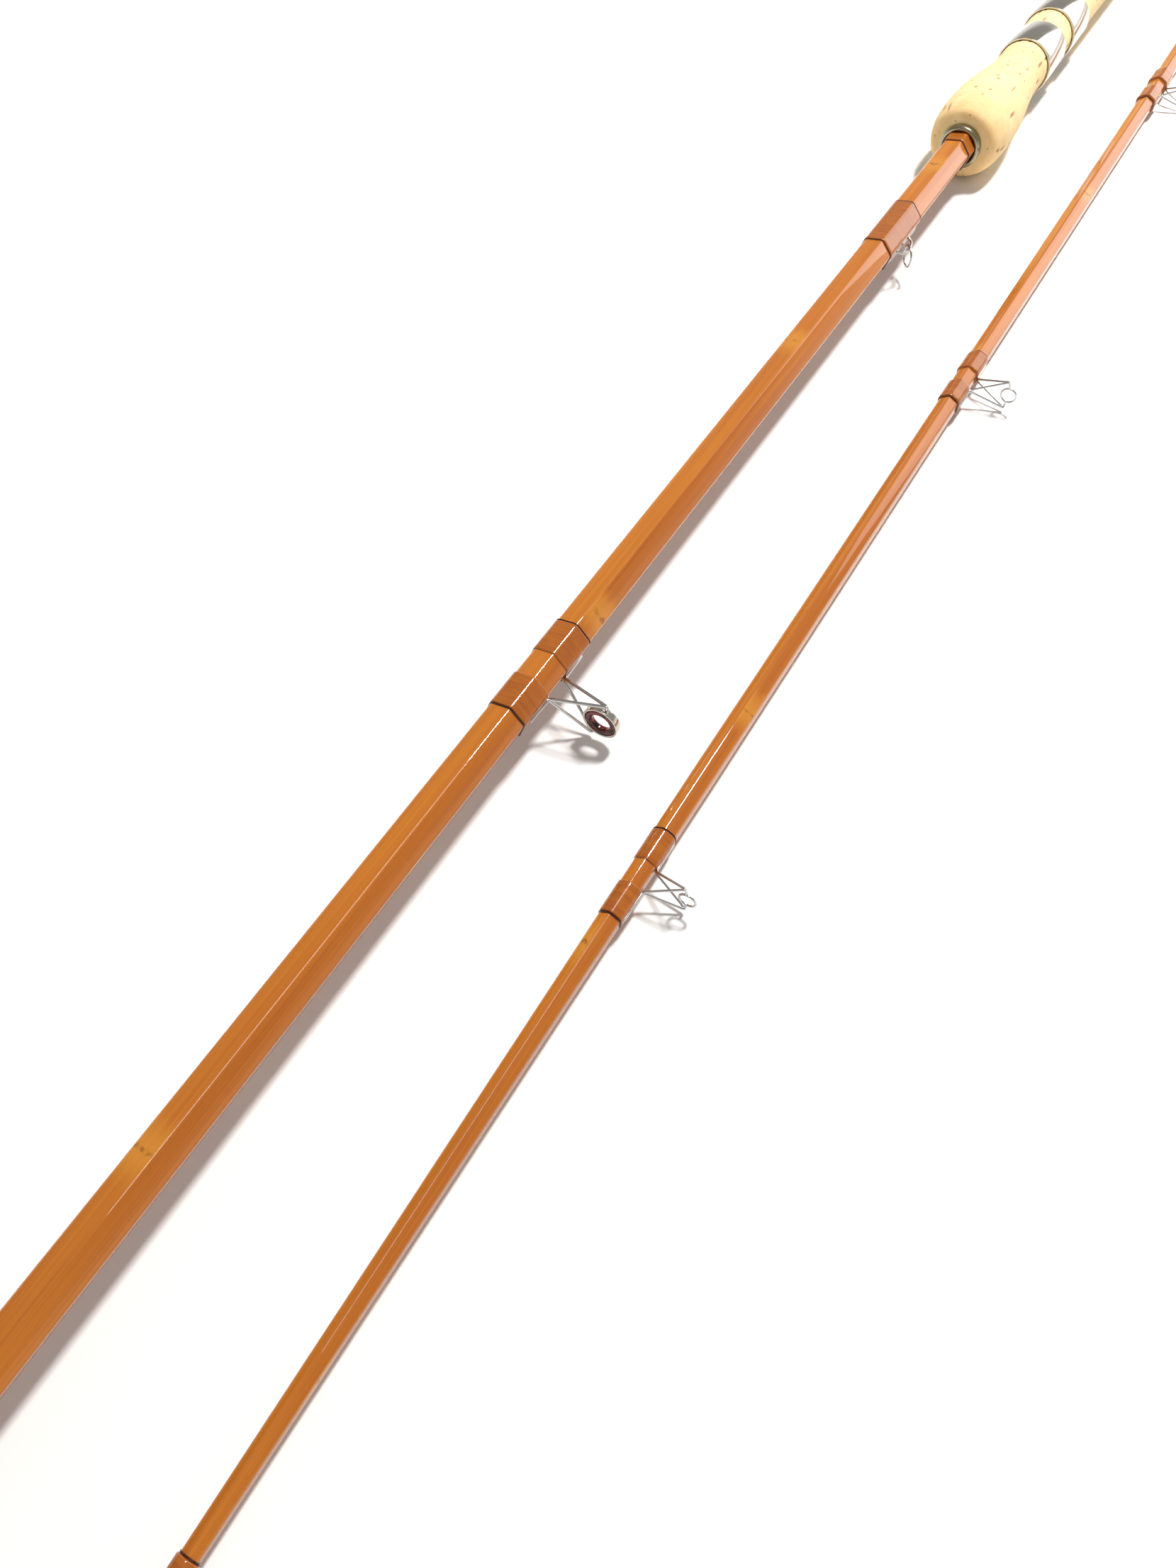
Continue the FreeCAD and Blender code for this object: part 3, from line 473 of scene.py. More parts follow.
def cork_material():
    """Turned and sanded natural cork: pale grain, warm patches, dark bark dust in the pits."""
    colours = finish_colours()
    ring = shape().cork_ring
    material, tree = new_material("sanded_cork")
    where = add(tree, "ShaderNodeTexCoord").outputs["Object"]
    pits = add(tree, "ShaderNodeAttribute", attribute_name="pit").outputs["Fac"]
    warmth = add(tree, "ShaderNodeAttribute", attribute_name="warm").outputs["Fac"]
    # Cork's cells read as a fine grain of about 0.6 mm, in patches of about 6 mm.
    cells = add(tree, "ShaderNodeTexNoise", {"Vector": where, "Scale": 1500.0, "Detail": 3.0})
    patches = add(tree, "ShaderNodeTexNoise", {"Vector": where, "Scale": 160.0, "Detail": 3.0,
                                               "Roughness": 0.6})
    apart = add(tree, "ShaderNodeSeparateXYZ", {"Vector": where})
    disc = add(tree, "ShaderNodeMath", {0: apart.outputs["Y"], 1: ring}, operation="DIVIDE")
    number = add(tree, "ShaderNodeMath", {0: disc.outputs[0]}, operation="FLOOR")
    tone = add(tree, "ShaderNodeTexWhiteNoise", {"W": number.outputs[0]}, noise_dimensions="1D")
    seam = add(tree, "ShaderNodeMath", {0: disc.outputs[0], 1: 0.5}, operation="PINGPONG")
    seam = add(tree, "ShaderNodeMapRange",
               {"Value": seam.outputs[0], "From Min": 0.0, "From Max": 0.014,
                "To Min": 0.22, "To Max": 0.0})
    mottle = add(tree, "ShaderNodeMath", {0: patches.outputs[0], 1: 0.9, 2: -0.42},
                 operation="MULTIPLY_ADD")
    mottle = add(tree, "ShaderNodeMath", {0: cells.outputs[0], 1: 0.35, 2: mottle.outputs[0]},
                 operation="MULTIPLY_ADD")
    mottle = add(tree, "ShaderNodeMath", {0: tone.outputs[0], 1: 0.2, 2: mottle.outputs[0]},
                 operation="MULTIPLY_ADD")
    mottle = add(tree, "ShaderNodeMath", {0: mottle.outputs[0], 1: warmth}, operation="ADD",
                 use_clamp=True)
    body = add(tree, "ShaderNodeMix", {"Factor": mottle.outputs[0], "A": rgba(colours.cork),
                                       "B": rgba(colours.cork_warm)}, data_type="RGBA")
    body = add(tree, "ShaderNodeMix", {"Factor": seam.outputs[0], "A": body.outputs["Result"],
                                       "B": rgba(colours.cork_pit)}, data_type="RGBA")
    flecks = add(tree, "ShaderNodeMapping", {"Vector": where, "Scale": (1.0, 0.45, 1.0)})
    flecks = add(tree, "ShaderNodeTexVoronoi", {"Vector": flecks.outputs[0], "Scale": 520.0})
    chance = add(tree, "ShaderNodeSeparateColor", {"Color": flecks.outputs["Color"]})
    rare = add(tree, "ShaderNodeMath", {0: chance.outputs[0], 1: 0.9}, operation="GREATER_THAN")
    speck = add(tree, "ShaderNodeMapRange",
                {"Value": flecks.outputs["Distance"], "From Min": 0.12, "From Max": 0.3,
                 "To Min": 0.55, "To Max": 0.0})
    speck = add(tree, "ShaderNodeMath", {0: speck.outputs[0], 1: rare.outputs[0]},
                operation="MULTIPLY")
    dark = add(tree, "ShaderNodeMath", {0: pits, 1: speck.outputs[0]}, operation="MAXIMUM",
               use_clamp=True)
    body = add(tree, "ShaderNodeMix", {"Factor": dark.outputs[0], "A": body.outputs["Result"],
                                       "B": rgba(colours.cork_pit)}, data_type="RGBA")
    height = add(tree, "ShaderNodeMath", {0: dark.outputs[0], 1: -1.5, 2: cells.outputs[0]},
                 operation="MULTIPLY_ADD")
    relief = add(tree, "ShaderNodeBump", {"Height": height.outputs[0], "Strength": 0.4,
                                          "Distance": 0.12 * MM})
    shader = add(tree, "ShaderNodeBsdfPrincipled",
                 {"Base Color": body.outputs["Result"], "Roughness": 0.72,
                  "Specular IOR Level": 0.3, "Normal": relief.outputs[0]})
    close_material(tree, shader)
    return material


def metal_material(name, colour, roughness, scale, worn):
    """Polished metal with fine turning marks and light handling scratches."""
    material, tree = new_material(name)
    where = add(tree, "ShaderNodeTexCoord").outputs["Object"]
    marks = add(tree, "ShaderNodeMapping", {"Vector": where, "Scale": scale})
    marks = add(tree, "ShaderNodeTexNoise", {"Vector": marks.outputs[0], "Scale": 1.0,
                                             "Detail": 4.0})
    haze = add(tree, "ShaderNodeTexNoise", {"Vector": where, "Scale": 220.0, "Detail": 4.0})
    rough = add(tree, "ShaderNodeMath", {0: marks.outputs[0], 1: worn, 2: roughness},
                operation="MULTIPLY_ADD")
    rough = add(tree, "ShaderNodeMath", {0: haze.outputs[0], 1: worn, 2: rough.outputs[0]},
                operation="MULTIPLY_ADD")
    tint = add(tree, "ShaderNodeMapRange",
               {"Value": haze.outputs[0], "From Min": 0.3, "From Max": 0.7,
                "To Min": 0.86, "To Max": 1.0})
    tinted = add(tree, "ShaderNodeMix", {"Factor": tint.outputs[0],
                                         "A": rgba([c * 0.8 for c in colour]),
                                         "B": rgba(colour)}, data_type="RGBA")
    relief = add(tree, "ShaderNodeBump", {"Height": marks.outputs[0], "Strength": 0.06,
                                          "Distance": 0.02 * MM})
    shader = add(tree, "ShaderNodeBsdfPrincipled",
                 {"Base Color": tinted.outputs["Result"], "Metallic": 1.0,
                  "Roughness": rough.outputs[0], "Normal": relief.outputs[0]})
    close_material(tree, shader)
    return material


def rubber_material():
    """Moulded rubber: dull black with a fine mould grain and greyer rubbed patches."""
    colours = finish_colours()
    material, tree = new_material("moulded_rubber")
    where = add(tree, "ShaderNodeTexCoord").outputs["Object"]
    grain = add(tree, "ShaderNodeTexNoise", {"Vector": where, "Scale": 1800.0, "Detail": 2.0})
    rubbed = add(tree, "ShaderNodeTexNoise", {"Vector": where, "Scale": 90.0, "Detail": 3.0})
    share = add(tree, "ShaderNodeMapRange",
                {"Value": rubbed.outputs[0], "From Min": 0.45, "From Max": 0.75,
                 "To Min": 0.0, "To Max": 0.35})
    colour = add(tree, "ShaderNodeMix", {"Factor": share.outputs[0], "A": rgba(colours.rubber),
                                         "B": (0.09, 0.085, 0.08, 1.0)}, data_type="RGBA")
    rough = add(tree, "ShaderNodeMath", {0: rubbed.outputs[0], 1: 0.2, 2: 0.58},
                operation="MULTIPLY_ADD")
    relief = add(tree, "ShaderNodeBump", {"Height": grain.outputs[0], "Strength": 0.35,
                                          "Distance": 0.08 * MM})
    shader = add(tree, "ShaderNodeBsdfPrincipled",
                 {"Base Color": colour.outputs["Result"], "Roughness": rough.outputs[0],
                  "Normal": relief.outputs[0]})
    close_material(tree, shader)
    return material


def agate_material():
    """Polished agate: red-brown with dark bands about 1 mm wide, glassy."""
    colours = finish_colours()
    material, tree = new_material("polished_agate")
    where = add(tree, "ShaderNodeTexCoord").outputs["Object"]
    bands = add(tree, "ShaderNodeTexNoise", {"Vector": where, "Scale": 260.0, "Detail": 3.0,
                                             "Distortion": 1.2})
    share = add(tree, "ShaderNodeMapRange",
                {"Value": bands.outputs[0], "From Min": 0.4, "From Max": 0.6})
    colour = add(tree, "ShaderNodeMix", {"Factor": share.outputs[0],
                                         "A": rgba(colours.agate_deep),
                                         "B": rgba(colours.agate)}, data_type="RGBA")
    shader = add(tree, "ShaderNodeBsdfPrincipled",
                 {"Base Color": colour.outputs["Result"], "Roughness": 0.08, "IOR": 1.54})
    close_material(tree, shader)
    return material


def floor_material():
    """Matt white paper: even, with a faint fibre mottle."""
    colours = finish_colours()
    material, tree = new_material("white_paper")
    where = add(tree, "ShaderNodeTexCoord").outputs["Object"]
    mottle = add(tree, "ShaderNodeTexNoise", {"Vector": where, "Scale": 60.0, "Detail": 3.0})
    share = add(tree, "ShaderNodeMapRange", {"Value": mottle.outputs[0], "To Min": 0.97,
                                             "To Max": 1.0})
    colour = add(tree, "ShaderNodeMix", {"Factor": share.outputs[0],
                                         "A": rgba([c * 0.9 for c in colours.floor]),
                                         "B": rgba(colours.floor)}, data_type="RGBA")
    shader = add(tree, "ShaderNodeBsdfPrincipled",
                 {"Base Color": colour.outputs["Result"], "Roughness": 0.9,
                  "Specular IOR Level": 0.0})
    close_material(tree, shader)
    return material


def material(name):
    """A finish by name, made the first time it is asked for."""
    if name in bpy.data.materials:
        return bpy.data.materials[name]
    colours = finish_colours()
    makers = {
        "varnished_cane": cane_material,
        "tan_silk": lambda: silk_material(name, colours.silk, colours.silk_deep, 0.4 * MM),
        "tipping_silk": lambda: silk_material(name, colours.dark_silk, colours.dark_silk,
                                              shape().thread),
        "sanded_cork": cork_material,
        "nickel_silver": lambda: metal_material(name, colours.nickel, 0.07,
                                                (300.0, 9000.0, 300.0), 0.06),
        # Darker copy of nickel silver: painted shade in place of the winding check's dim reflection
        "painted_shade_nickel": lambda: metal_material(name, colours.nickel_painted_shade, 0.12,
                                              (300.0, 9000.0, 300.0), 0.12),
        "drawn_steel": lambda: metal_material(name, colours.steel, 0.07,
                                              (2500.0, 2500.0, 2500.0), 0.08),
        "moulded_rubber": rubber_material,
        "polished_agate": agate_material,
        "white_paper": floor_material,
    }
    return makers[name]()


# ------------------------------------------------------------------------ cane

# Stations, in metres along -Y, of culm nodes on each facet, starting at the guide facet
# and going round by way of the top.
CULM_NODES = {
    "butt_section": [(0.312, -0.06, 0.62, -0.42), (0.208, -0.17, 0.56),
                     (-0.093, 0.052, 0.412, 0.71), (-0.2, 0.15, 0.49),
                     (-0.05, 0.3, 0.66), (0.02, 0.38, 0.7)],
    "tip_section": [(-0.3, 0.06, 0.43), (-0.13, 0.21, 0.58), (0.005, 0.305, -0.41, 0.65),
                    (-0.22, 0.13, 0.5), (-0.05, 0.28, 0.62), (0.1, 0.41, -0.5)],
}


def map_cane(bm, section):
    """Grain map in metres, and a map of (place across the facet, distance to the next node)."""
    grain = bm.loops.layers.uv.new("grain")
    nodal = bm.loops.layers.uv.new("node")
    for face in bm.faces:
        middle = face.calc_center_median()
        facet = facet_of(middle)
        turn = Matrix.Rotation(-facet * math.radians(60), 3, "Z")
        marks = CULM_NODES[section.body][facet]
        mark = min(marks, key=lambda station: abs(station - middle.z))
        for loop in face.loops:
            point = turn @ loop.vert.co
            half = section.corner(point.z) / 2
            loop[grain].uv = ((facet + 0.5) * FACET_STEP + point.y, point.z)
            loop[nodal].uv = (point.y / half, point.z - mark)


class ROD_OT_cane(bpy.types.Operator):
    """Six glued strips of each section, as one varnished hexagonal stick"""
    bl_idname = "rod.cane"
    bl_label = "Cane"

    def execute(self, context):
        sizes = shape()
        for section, prefix in zip(sections(), ("butt", "tip")):
            first, last = section.stations[0], section.stations[-1]
            count = max(2, round((last - first) / sizes.cane_step))
            stations = {first + (last - first) * i / count for i in range(count + 1)}
            rings = []
            for station in sorted(stations | set(section.stations)):
                waver = noise.noise(Vector((0, len(prefix), station * 60.0)))
                rings.append((station, -sizes.cane_waver * (0.5 + 0.5 * waver)))
            bm = sleeve(section, rings, sizes.ridge_round, closed=False)
            map_cane(bm, section)
            strips = ["%s_strip_%d" % (prefix, n + 1) for n in range(HEX)]
            place(prefix + "_cane", bm, section, material("varnished_cane"), strips,
                  sharp=60.0)
        return {"FINISHED"}


# ------------------------------------------------------------------------ silk

def winding(section, first, last, rise, hump=None):
    """Closed silk sleeve with eased shoulders; hump lifts it over a foot."""
    sizes = shape()
    shoulder = min(sizes.silk_shoulder, (last - first) / 4)
    steps = 5
    rings = []
    for i in range(steps + 1):
        lean = math.sin(0.5 * math.pi * i / steps)
        rings.append((first + shoulder * (1 - math.cos(0.5 * math.pi * i / steps)),
                      rise * lean))
    inner = max(4, round((last - first) / (0.8 * MM)))
    start, end = first + shoulder, last - shoulder
    rings += [(start + (end - start) * i / inner, rise) for i in range(1, inner)]
    rings += [(first + last - station, height) for station, height in reversed(rings[:steps + 1])]
    rings += [(last, -SILK_SINK), (first, -SILK_SINK)]
    bm = sleeve(section, rings, sizes.silk_round, facet_cuts=9)
    if hump:
        lift_over_foot(bm, section, rise, hump)
    return bm


def lift_over_foot(bm, section, rise, hump):
    """Raise the guide facet's skin where a foot lies under it."""
    sizes = shape()
    first, last, lead_first, lead_last = hump
    for vert in bm.verts:
        x, y, z = vert.co
        level = section.corner(z) * FLAT
        if x < level + 0.5 * rise or abs(y) > 2.2 * sizes.foot_width:
            continue
        start = min(1.0, max(0.0, (z - first) / lead_first))
        stop = min(1.0, max(0.0, (last - z) / lead_last))
        along = math.sin(0.5 * math.pi * min(start, stop))
        vert.co.x += sizes.foot_hump * along * math.exp(-(y / (0.62 * sizes.foot_width)) ** 2)


def guide_windings(section, node):
    """Both windings of a guide: each covers one foot, which comes out at its inner end."""
    sizes = shape()
    spans = islands(section, node)
    if len(spans) != 2:
        raise RuntimeError("a guide has two windings: " + node)
    (rear_first, rear_last), (front_first, front_last) = spans
    rise = silk_rise(section, node)
    foot = sizes.foot_length
    rear = winding(section, rear_first, rear_last, rise,
                   (rear_last - foot, rear_last + 3 * MM, 5 * MM, 0.1 * MM))
    front = winding(section, front_first, front_last, rise,
                    (front_first - 3 * MM, front_first + foot, 0.1 * MM, 5 * MM))
    return merged([rear, front])


def silk_rise(section, node):
    """How far a winding stands over the cane's facets."""
    points = section.points(node)
    first = points[:, 2].min()
    at_start = points[np.abs(points[:, 2] - first) < 0.02 * MM]
    reach = np.hypot(at_start[:, 0], at_start[:, 1]).max()
    return (reach - section.corner(first)) * FLAT


class ROD_OT_windings(bpy.types.Operator):
    """Silk windings over the guide feet, the ferrules, the keeper and the handle's end"""
    bl_idname = "rod.windings"
    bl_label = "Silk windings"

    def execute(self, context):
        butt, tip = sections()
        silk = material("tan_silk")
        pairs = [(butt, "butt_guide_whippings"), (butt, "second_guide_whippings")]
        pairs += [(tip, "tip_guide_%d_whippings" % n) for n in range(1, 7)]
        for section, node in pairs:
            place(node.replace("whippings", "windings"), guide_windings(section, node), section,
                  silk, [node])
        singles = [(butt, "handle_whipping"), (butt, "butt_ferrule_whipping"),
                   (tip, "tip_ferrule_whipping"), (tip, "tip_top_whipping")]
        for section, node in singles:
            (first, last), = islands(section, node)
            bm = winding(section, first, last, silk_rise(section, node))
            place(node.replace("whipping", "winding"), bm, section, silk, [node])
        (first, last), = islands(butt, "keeper_whipping")
        low, high = butt.span("keeper_saddle")
        bm = winding(butt, first, last, silk_rise(butt, "keeper_whipping"),
                     (low.z - 2 * MM, high.z + 2 * MM, 4 * MM, 4 * MM))
        place("keeper_winding", bm, butt, silk, ["keeper_whipping"])
        return {"FINISHED"}


def tipping(section, first, last, rise):
    """A few turns of dark thread, each a small round rib."""
    sizes = shape()
    turns = max(1, round((last - first) / sizes.thread))
    around = 6
    rings = []
    for turn in range(turns):
        for i in range(around):
            share = (turn + i / around) / turns
            rings.append((first + (last - first) * share,
                          rise * (0.55 + 0.45 * math.sin(math.pi * i / around))))
    rings += [(last, rise * 0.55), (last, -SILK_SINK), (first, -SILK_SINK)]
    return sleeve(section, rings, sizes.silk_round)


class ROD_OT_tippings(bpy.types.Operator):
    """Narrow dark thread bands at the outer ends of the windings"""
    bl_idname = "rod.tippings"
    bl_label = "Dark tippings"

    def execute(self, context):
        for section, prefix in zip(sections(), ("butt", "tip")):
            node = prefix + "_dark_tippings"
            rise = silk_rise(section, node)
            bands = [tipping(section, first, last, rise) for first, last in islands(section, node)]
            place(prefix + "_dark_threads", merged(bands), section, material("tipping_silk"),
                  [node])
        return {"FINISHED"}


# ------------------------------------------------------------------------ cork

def cork_outline(section, node):
    """(station, radius) of a cork's outside, read from its CAD mesh."""
    points = section.points(node)
    radii = np.hypot(points[:, 0], points[:, 1])
    bore = radii.min()
    outside = {}
    for radius, station in zip(radii, points[:, 2]):
        if radius > bore + 1 * MM:
            key = round(float(station), 5)
            outside[key] = max(outside.get(key, 0.0), float(radius))
    stations = sorted(outside)
    return stations, [outside[s] for s in stations], float(bore)


def turned_cork(section, node, seed, warm_end):
    """Turn a cork from its outline, then press pits into it and mark them for the finish."""
    sizes = shape()
    stations, radii, bore = cork_outline(section, node)
    length = stations[-1] - stations[0]
    count = max(4, round(length / sizes.cork_grid))
    even = [stations[0] + length * i / count for i in range(count + 1)]
    bm = bmesh.new()
    outline = [bm.verts.new((bore, 0, even[0]))]
    outline += [bm.verts.new((float(np.interp(s, stations, radii)), 0, s)) for s in even]
    outline.append(bm.verts.new((bore, 0, even[-1])))
    edges = [bm.edges.new(pair) for pair in zip(outline, outline[1:] + outline[:1])]
    around = int(round(FULL_TURN * max(radii) / sizes.cork_grid))
    bmesh.ops.spin(bm, geom=outline + edges, axis=(0, 0, 1), cent=(0, 0, 0), steps=around,
                   angle=FULL_TURN, use_merge=True)
    bmesh.ops.remove_doubles(bm, verts=bm.verts, dist=WELD)
    bmesh.ops.recalc_face_normals(bm, faces=bm.faces)
    pit_layer = bm.verts.layers.float.new("pit")
    warm_layer = bm.verts.layers.float.new("warm")
    draw = random.Random(seed)
    pits = scattered_pits(draw, even[0], even[-1], sizes.cork_ring)
    places = np.array([vert.co for vert in bm.verts])
    angles = np.arctan2(places[:, 1], places[:, 0])
    reach = np.hypot(places[:, 0], places[:, 1])
    depth = np.zeros(len(places))
    for angle, station, wide, long, strength in pits:
        across = (np.angle(np.exp(1j * (angles - angle)))) * reach / wide
        along = (places[:, 2] - station) / long
        depth = np.maximum(depth, strength * np.exp(-(across ** 2 + along ** 2) ** 2))
    outer = reach > bore + 1 * MM
    for number, vert in enumerate(bm.verts):
        if not outer[number]:
            continue
        waver = noise.noise(Vector(places[number]) * 140.0)
        inward = sizes.pit_depth * depth[number] + sizes.cork_waver * (0.5 + 0.5 * waver)
        share = 1 - inward / reach[number]
        vert.co.x *= share
        vert.co.y *= share
        vert[pit_layer] = float(min(1.0, depth[number]))
        if warm_end:
            near = max(0.0, 1 - (even[-1] - places[number][2]) / (26 * MM))
            vert[warm_layer] = 0.4 * near * near
    return bm


def scattered_pits(draw, first, last, ring):
    """Angle, station, half width, half length and depth of each pit.

    Pits are bark pores: short dashes along the rod, a few in each ring of cork."""
    pits = []
    station = first
    while station < last:
        for _ in range(draw.randint(5, 9)):
            along = station + draw.uniform(0.12, 0.88) * ring
            if first + 1 * MM < along < last - 1 * MM:
                dash = draw.random() < 0.7
                long = draw.uniform(2.0, 3.8) * MM if dash else draw.uniform(0.6, 1.0) * MM
                wide = draw.uniform(0.5, 0.7) * MM if dash else long
                pits.append((draw.uniform(-math.pi, math.pi), along, wide, long,
                             draw.uniform(0.5, 1.0)))
        station += ring
    return pits


class ROD_OT_cork(bpy.types.Operator):
    """Front bulb, reel seat and rear grip, turned from cork rings"""
    bl_idname = "rod.cork"
    bl_label = "Cork handle"

    def execute(self, context):
        butt = sections()[0]
        corks = (("cork_front_bulb", 5, True), ("cork_reel_seat", 12, False),
                 ("cork_rear_grip", 23, False))
        for node, seed, warm_end in corks:
            bm = turned_cork(butt, node, seed, warm_end)
            place(node + "_skin", bm, butt, material("sanded_cork"), [node], sharp=50.0)
        return {"FINISHED"}


# -------------------------------------------------------------- turned fittings

def turned_outline(section, node):
    """Wire outline of a turned CAD node: its corners as (radius, station) and their edges."""
    bm = bmesh.new()
    bm.from_mesh(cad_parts[node].data)
    bmesh.ops.transform(bm, matrix=section.inverse, verts=bm.verts)
    bmesh.ops.remove_doubles(bm, verts=bm.verts, dist=0.002 * MM)
    corners = {}
    pairs = set()
    for vert in bm.verts:
        key = (round(math.hypot(vert.co.x, vert.co.y) / MM, 2), round(vert.co.z / MM, 2))
        corners[vert] = key
    for edge in bm.edges:
        a, b = corners[edge.verts[0]], corners[edge.verts[1]]
        if a != b:
            pairs.add(frozenset((a, b)))
    bm.free()
    made = bmesh.new()
    points = {key: made.verts.new((key[0] * MM, 0, key[1] * MM))
              for key in sorted(set(corners.values()))}
    for pair in sorted(pairs, key=sorted):
        a, b = sorted(pair)
        made.edges.new((points[a], points[b]))
    for vert in list(made.verts):
        if len(vert.link_edges) == 1 and vert.co.x > 0.001 * MM:
            made.edges.new((vert, made.verts.new((0, 0, vert.co.z))))
    return made


def spun(bm, round_over, around):
    """Ease the outline's corners and turn it right round."""
    corners = [vert for vert in bm.verts if len(vert.link_edges) == 2]
    bmesh.ops.bevel(bm, geom=corners, offset=round_over, offset_type="OFFSET", segments=3,
                    profile=0.5, affect="VERTICES", clamp_overlap=True, material=-1)
    bmesh.ops.spin(bm, geom=bm.verts[:] + bm.edges[:], axis=(0, 0, 1), cent=(0, 0, 0),
                   steps=around, angle=FULL_TURN, use_merge=True)
    bmesh.ops.remove_doubles(bm, verts=bm.verts, dist=WELD)
    bmesh.ops.recalc_face_normals(bm, faces=bm.faces)
    return bm


class ROD_OT_turned(bpy.types.Operator):
    """Winding check, butt cap, rubber button and both ferrules"""
    bl_idname = "rod.turned"
    bl_label = "Turned fittings"

    def execute(self, context):
        sizes = shape()
        butt, tip = sections()
        # The winding check takes the darker nickel copy, whose colour paints in the shade of its dim
        # reflection
        fittings = ((butt, "winding_check", "painted_shade_nickel", "nickel", sizes.edge_round * 2),
                    (butt, "butt_cap", "nickel_silver", "nickel", sizes.edge_round),
                    (butt, "rubber_button", "moulded_rubber", "rubber", sizes.edge_round * 4),
                    (butt, "butt_ferrule", "nickel_silver", "nickel", sizes.edge_round),
                    (tip, "tip_ferrule", "nickel_silver", "nickel", sizes.edge_round))
        for section, node, finish, slot, round_over in fittings:
            bm = spun(turned_outline(section, node), round_over, sizes.around)
            place(node + "_turned", bm, section, material(finish), [node])
        return {"FINISHED"}


class ROD_OT_reel_bands(bpy.types.Operator):
    """Sliding reel bands with their slanted rear edges"""
    bl_idname = "rod.reel_bands"
    bl_label = "Reel bands"

    def execute(self, context):
        sizes = shape()
        butt = sections()[0]
        for node, body in (("reel_band_front", "front_band"), ("reel_band_rear", "rear_band")):
            points = butt.points(node)
            radii = np.hypot(points[:, 0], points[:, 1])
            inner, outer = float(radii.min()), float(radii.max())
            first, last = float(points[:, 2].min()), float(points[:, 2].max())
            back = points[(points[:, 0] < -outer * 0.98) & (points[:, 2] < last - 1 * MM)]
            slant = float(back[:, 2].min()) - first
            bm = bmesh.new()
            corners = [bm.verts.new(p) for p in ((inner, 0, first - 1 * MM),
                                                 (outer, 0, first - 1 * MM),
                                                 (outer, 0, last), (inner, 0, last))]
            edges = [bm.edges.new(pair) for pair in zip(corners, corners[1:] + corners[:1])]
            bmesh.ops.spin(bm, geom=corners + edges, axis=(0, 0, 1), cent=(0, 0, 0),
                           steps=sizes.around, angle=FULL_TURN, use_merge=True)
            slope = slant / (2 * outer)
            bmesh.ops.bisect_plane(bm, geom=bm.verts[:] + bm.edges[:] + bm.faces[:],
                                   plane_co=(outer, 0, first), plane_no=(-slope, 0, -1),
                                   clear_outer=True)
            bmesh.ops.bridge_loops(bm, edges=[e for e in bm.edges if e.is_boundary])
            bmesh.ops.recalc_face_normals(bm, faces=bm.faces)
            rims = [e for e in bm.edges if e.calc_face_angle(0) > math.radians(50)]
            bmesh.ops.bevel(bm, geom=rims, offset=sizes.edge_round, offset_type="OFFSET",
                            segments=3, profile=0.5, affect="EDGES", material=-1)
            place(node + "_turned", bm, butt, material("nickel_silver"), [node],
                  body=body)
        return {"FINISHED"}


# ---------------------------------------------------------------------- guides

def eased_path(points, round_over):
    """A run of points whose inner corners are eased into bends."""
    bm = bmesh.new()
    verts = [bm.verts.new(point) for point in points]
    for pair in zip(verts, verts[1:]):
        bm.edges.new(pair)
    bmesh.ops.bevel(bm, geom=verts[1:-1], offset=round_over, offset_type="OFFSET", segments=5,
                    profile=0.5, affect="VERTICES", clamp_overlap=True, material=-1)
    start = min(bm.verts, key=lambda v: (v.co - Vector(points[0])).length)
    path = [start]
    seen = {start}
    while True:
        onward = [e.other_vert(path[-1]) for e in path[-1].link_edges]
        onward = [v for v in onward if v not in seen]
        if not onward:
            break
        path.append(onward[0])
        seen.add(onward[0])
    places = [v.co.copy() for v in path]
    bm.free()
    return places


def wire_along(points, radius, round_over, sides=14):
    """Round wire along a run of points, with eased bends and closed ends."""
    path = eased_path(points, round_over) if len(points) > 2 else [Vector(p) for p in points]
    bm = bmesh.new()
    made = bmesh.ops.create_circle(bm, cap_ends=False, segments=sides, radius=radius)
    ring = made["verts"]
    edges = bm.edges[:]
    now = Matrix.Identity(4)
    turn = (path[1] - path[0]).to_track_quat("Z", "Y").to_matrix().to_4x4()
    for number, point in enumerate(path):
        if number:
            ring, edges = ring_of(bmesh.ops.extrude_edge_only(bm, edges=edges))
        before = path[max(0, number - 1)]
        after = path[min(len(path) - 1, number + 1)]
        ahead = (after - before).normalized()
        facing = turn.to_3x3() @ Vector((0, 0, 1))
        turn = facing.rotation_difference(ahead).to_matrix().to_4x4() @ turn
        wanted = Matrix.Translation(point) @ turn
        bmesh.ops.transform(bm, matrix=wanted @ now.inverted(), verts=ring)
        now = wanted
    bmesh.ops.holes_fill(bm, edges=bm.edges, sides=0)
    rims = [e for e in bm.edges if e.calc_face_angle(0) > math.radians(70)]
    bmesh.ops.bevel(bm, geom=rims, offset=radius * 0.35, offset_type="OFFSET", segments=2,
                    profile=0.5, affect="EDGES", material=-1)
    bmesh.ops.recalc_face_normals(bm, faces=bm.faces)
    return bm


def hoop(centre, radius, wire, around, axis=(0, 0, 1)):
    """Round ring of round wire."""
    bm = bmesh.new()
    made = bmesh.ops.create_circle(bm, cap_ends=False, segments=16, radius=wire)
    upright = Matrix.Translation((radius, 0, 0)) @ Matrix.Rotation(math.radians(90), 4, "X")
    bmesh.ops.transform(bm, matrix=upright, verts=made["verts"])
    bmesh.ops.spin(bm, geom=bm.verts[:] + bm.edges[:], axis=(0, 0, 1), cent=(0, 0, 0),
                   steps=around, angle=FULL_TURN, use_merge=True)
    bmesh.ops.remove_doubles(bm, verts=bm.verts, dist=WELD)
    bmesh.ops.recalc_face_normals(bm, faces=bm.faces)
    lean = Vector((0, 0, 1)).rotation_difference(Vector(axis)).to_matrix().to_4x4()
    bmesh.ops.transform(bm, matrix=Matrix.Translation(centre) @ lean, verts=bm.verts)
    return bm


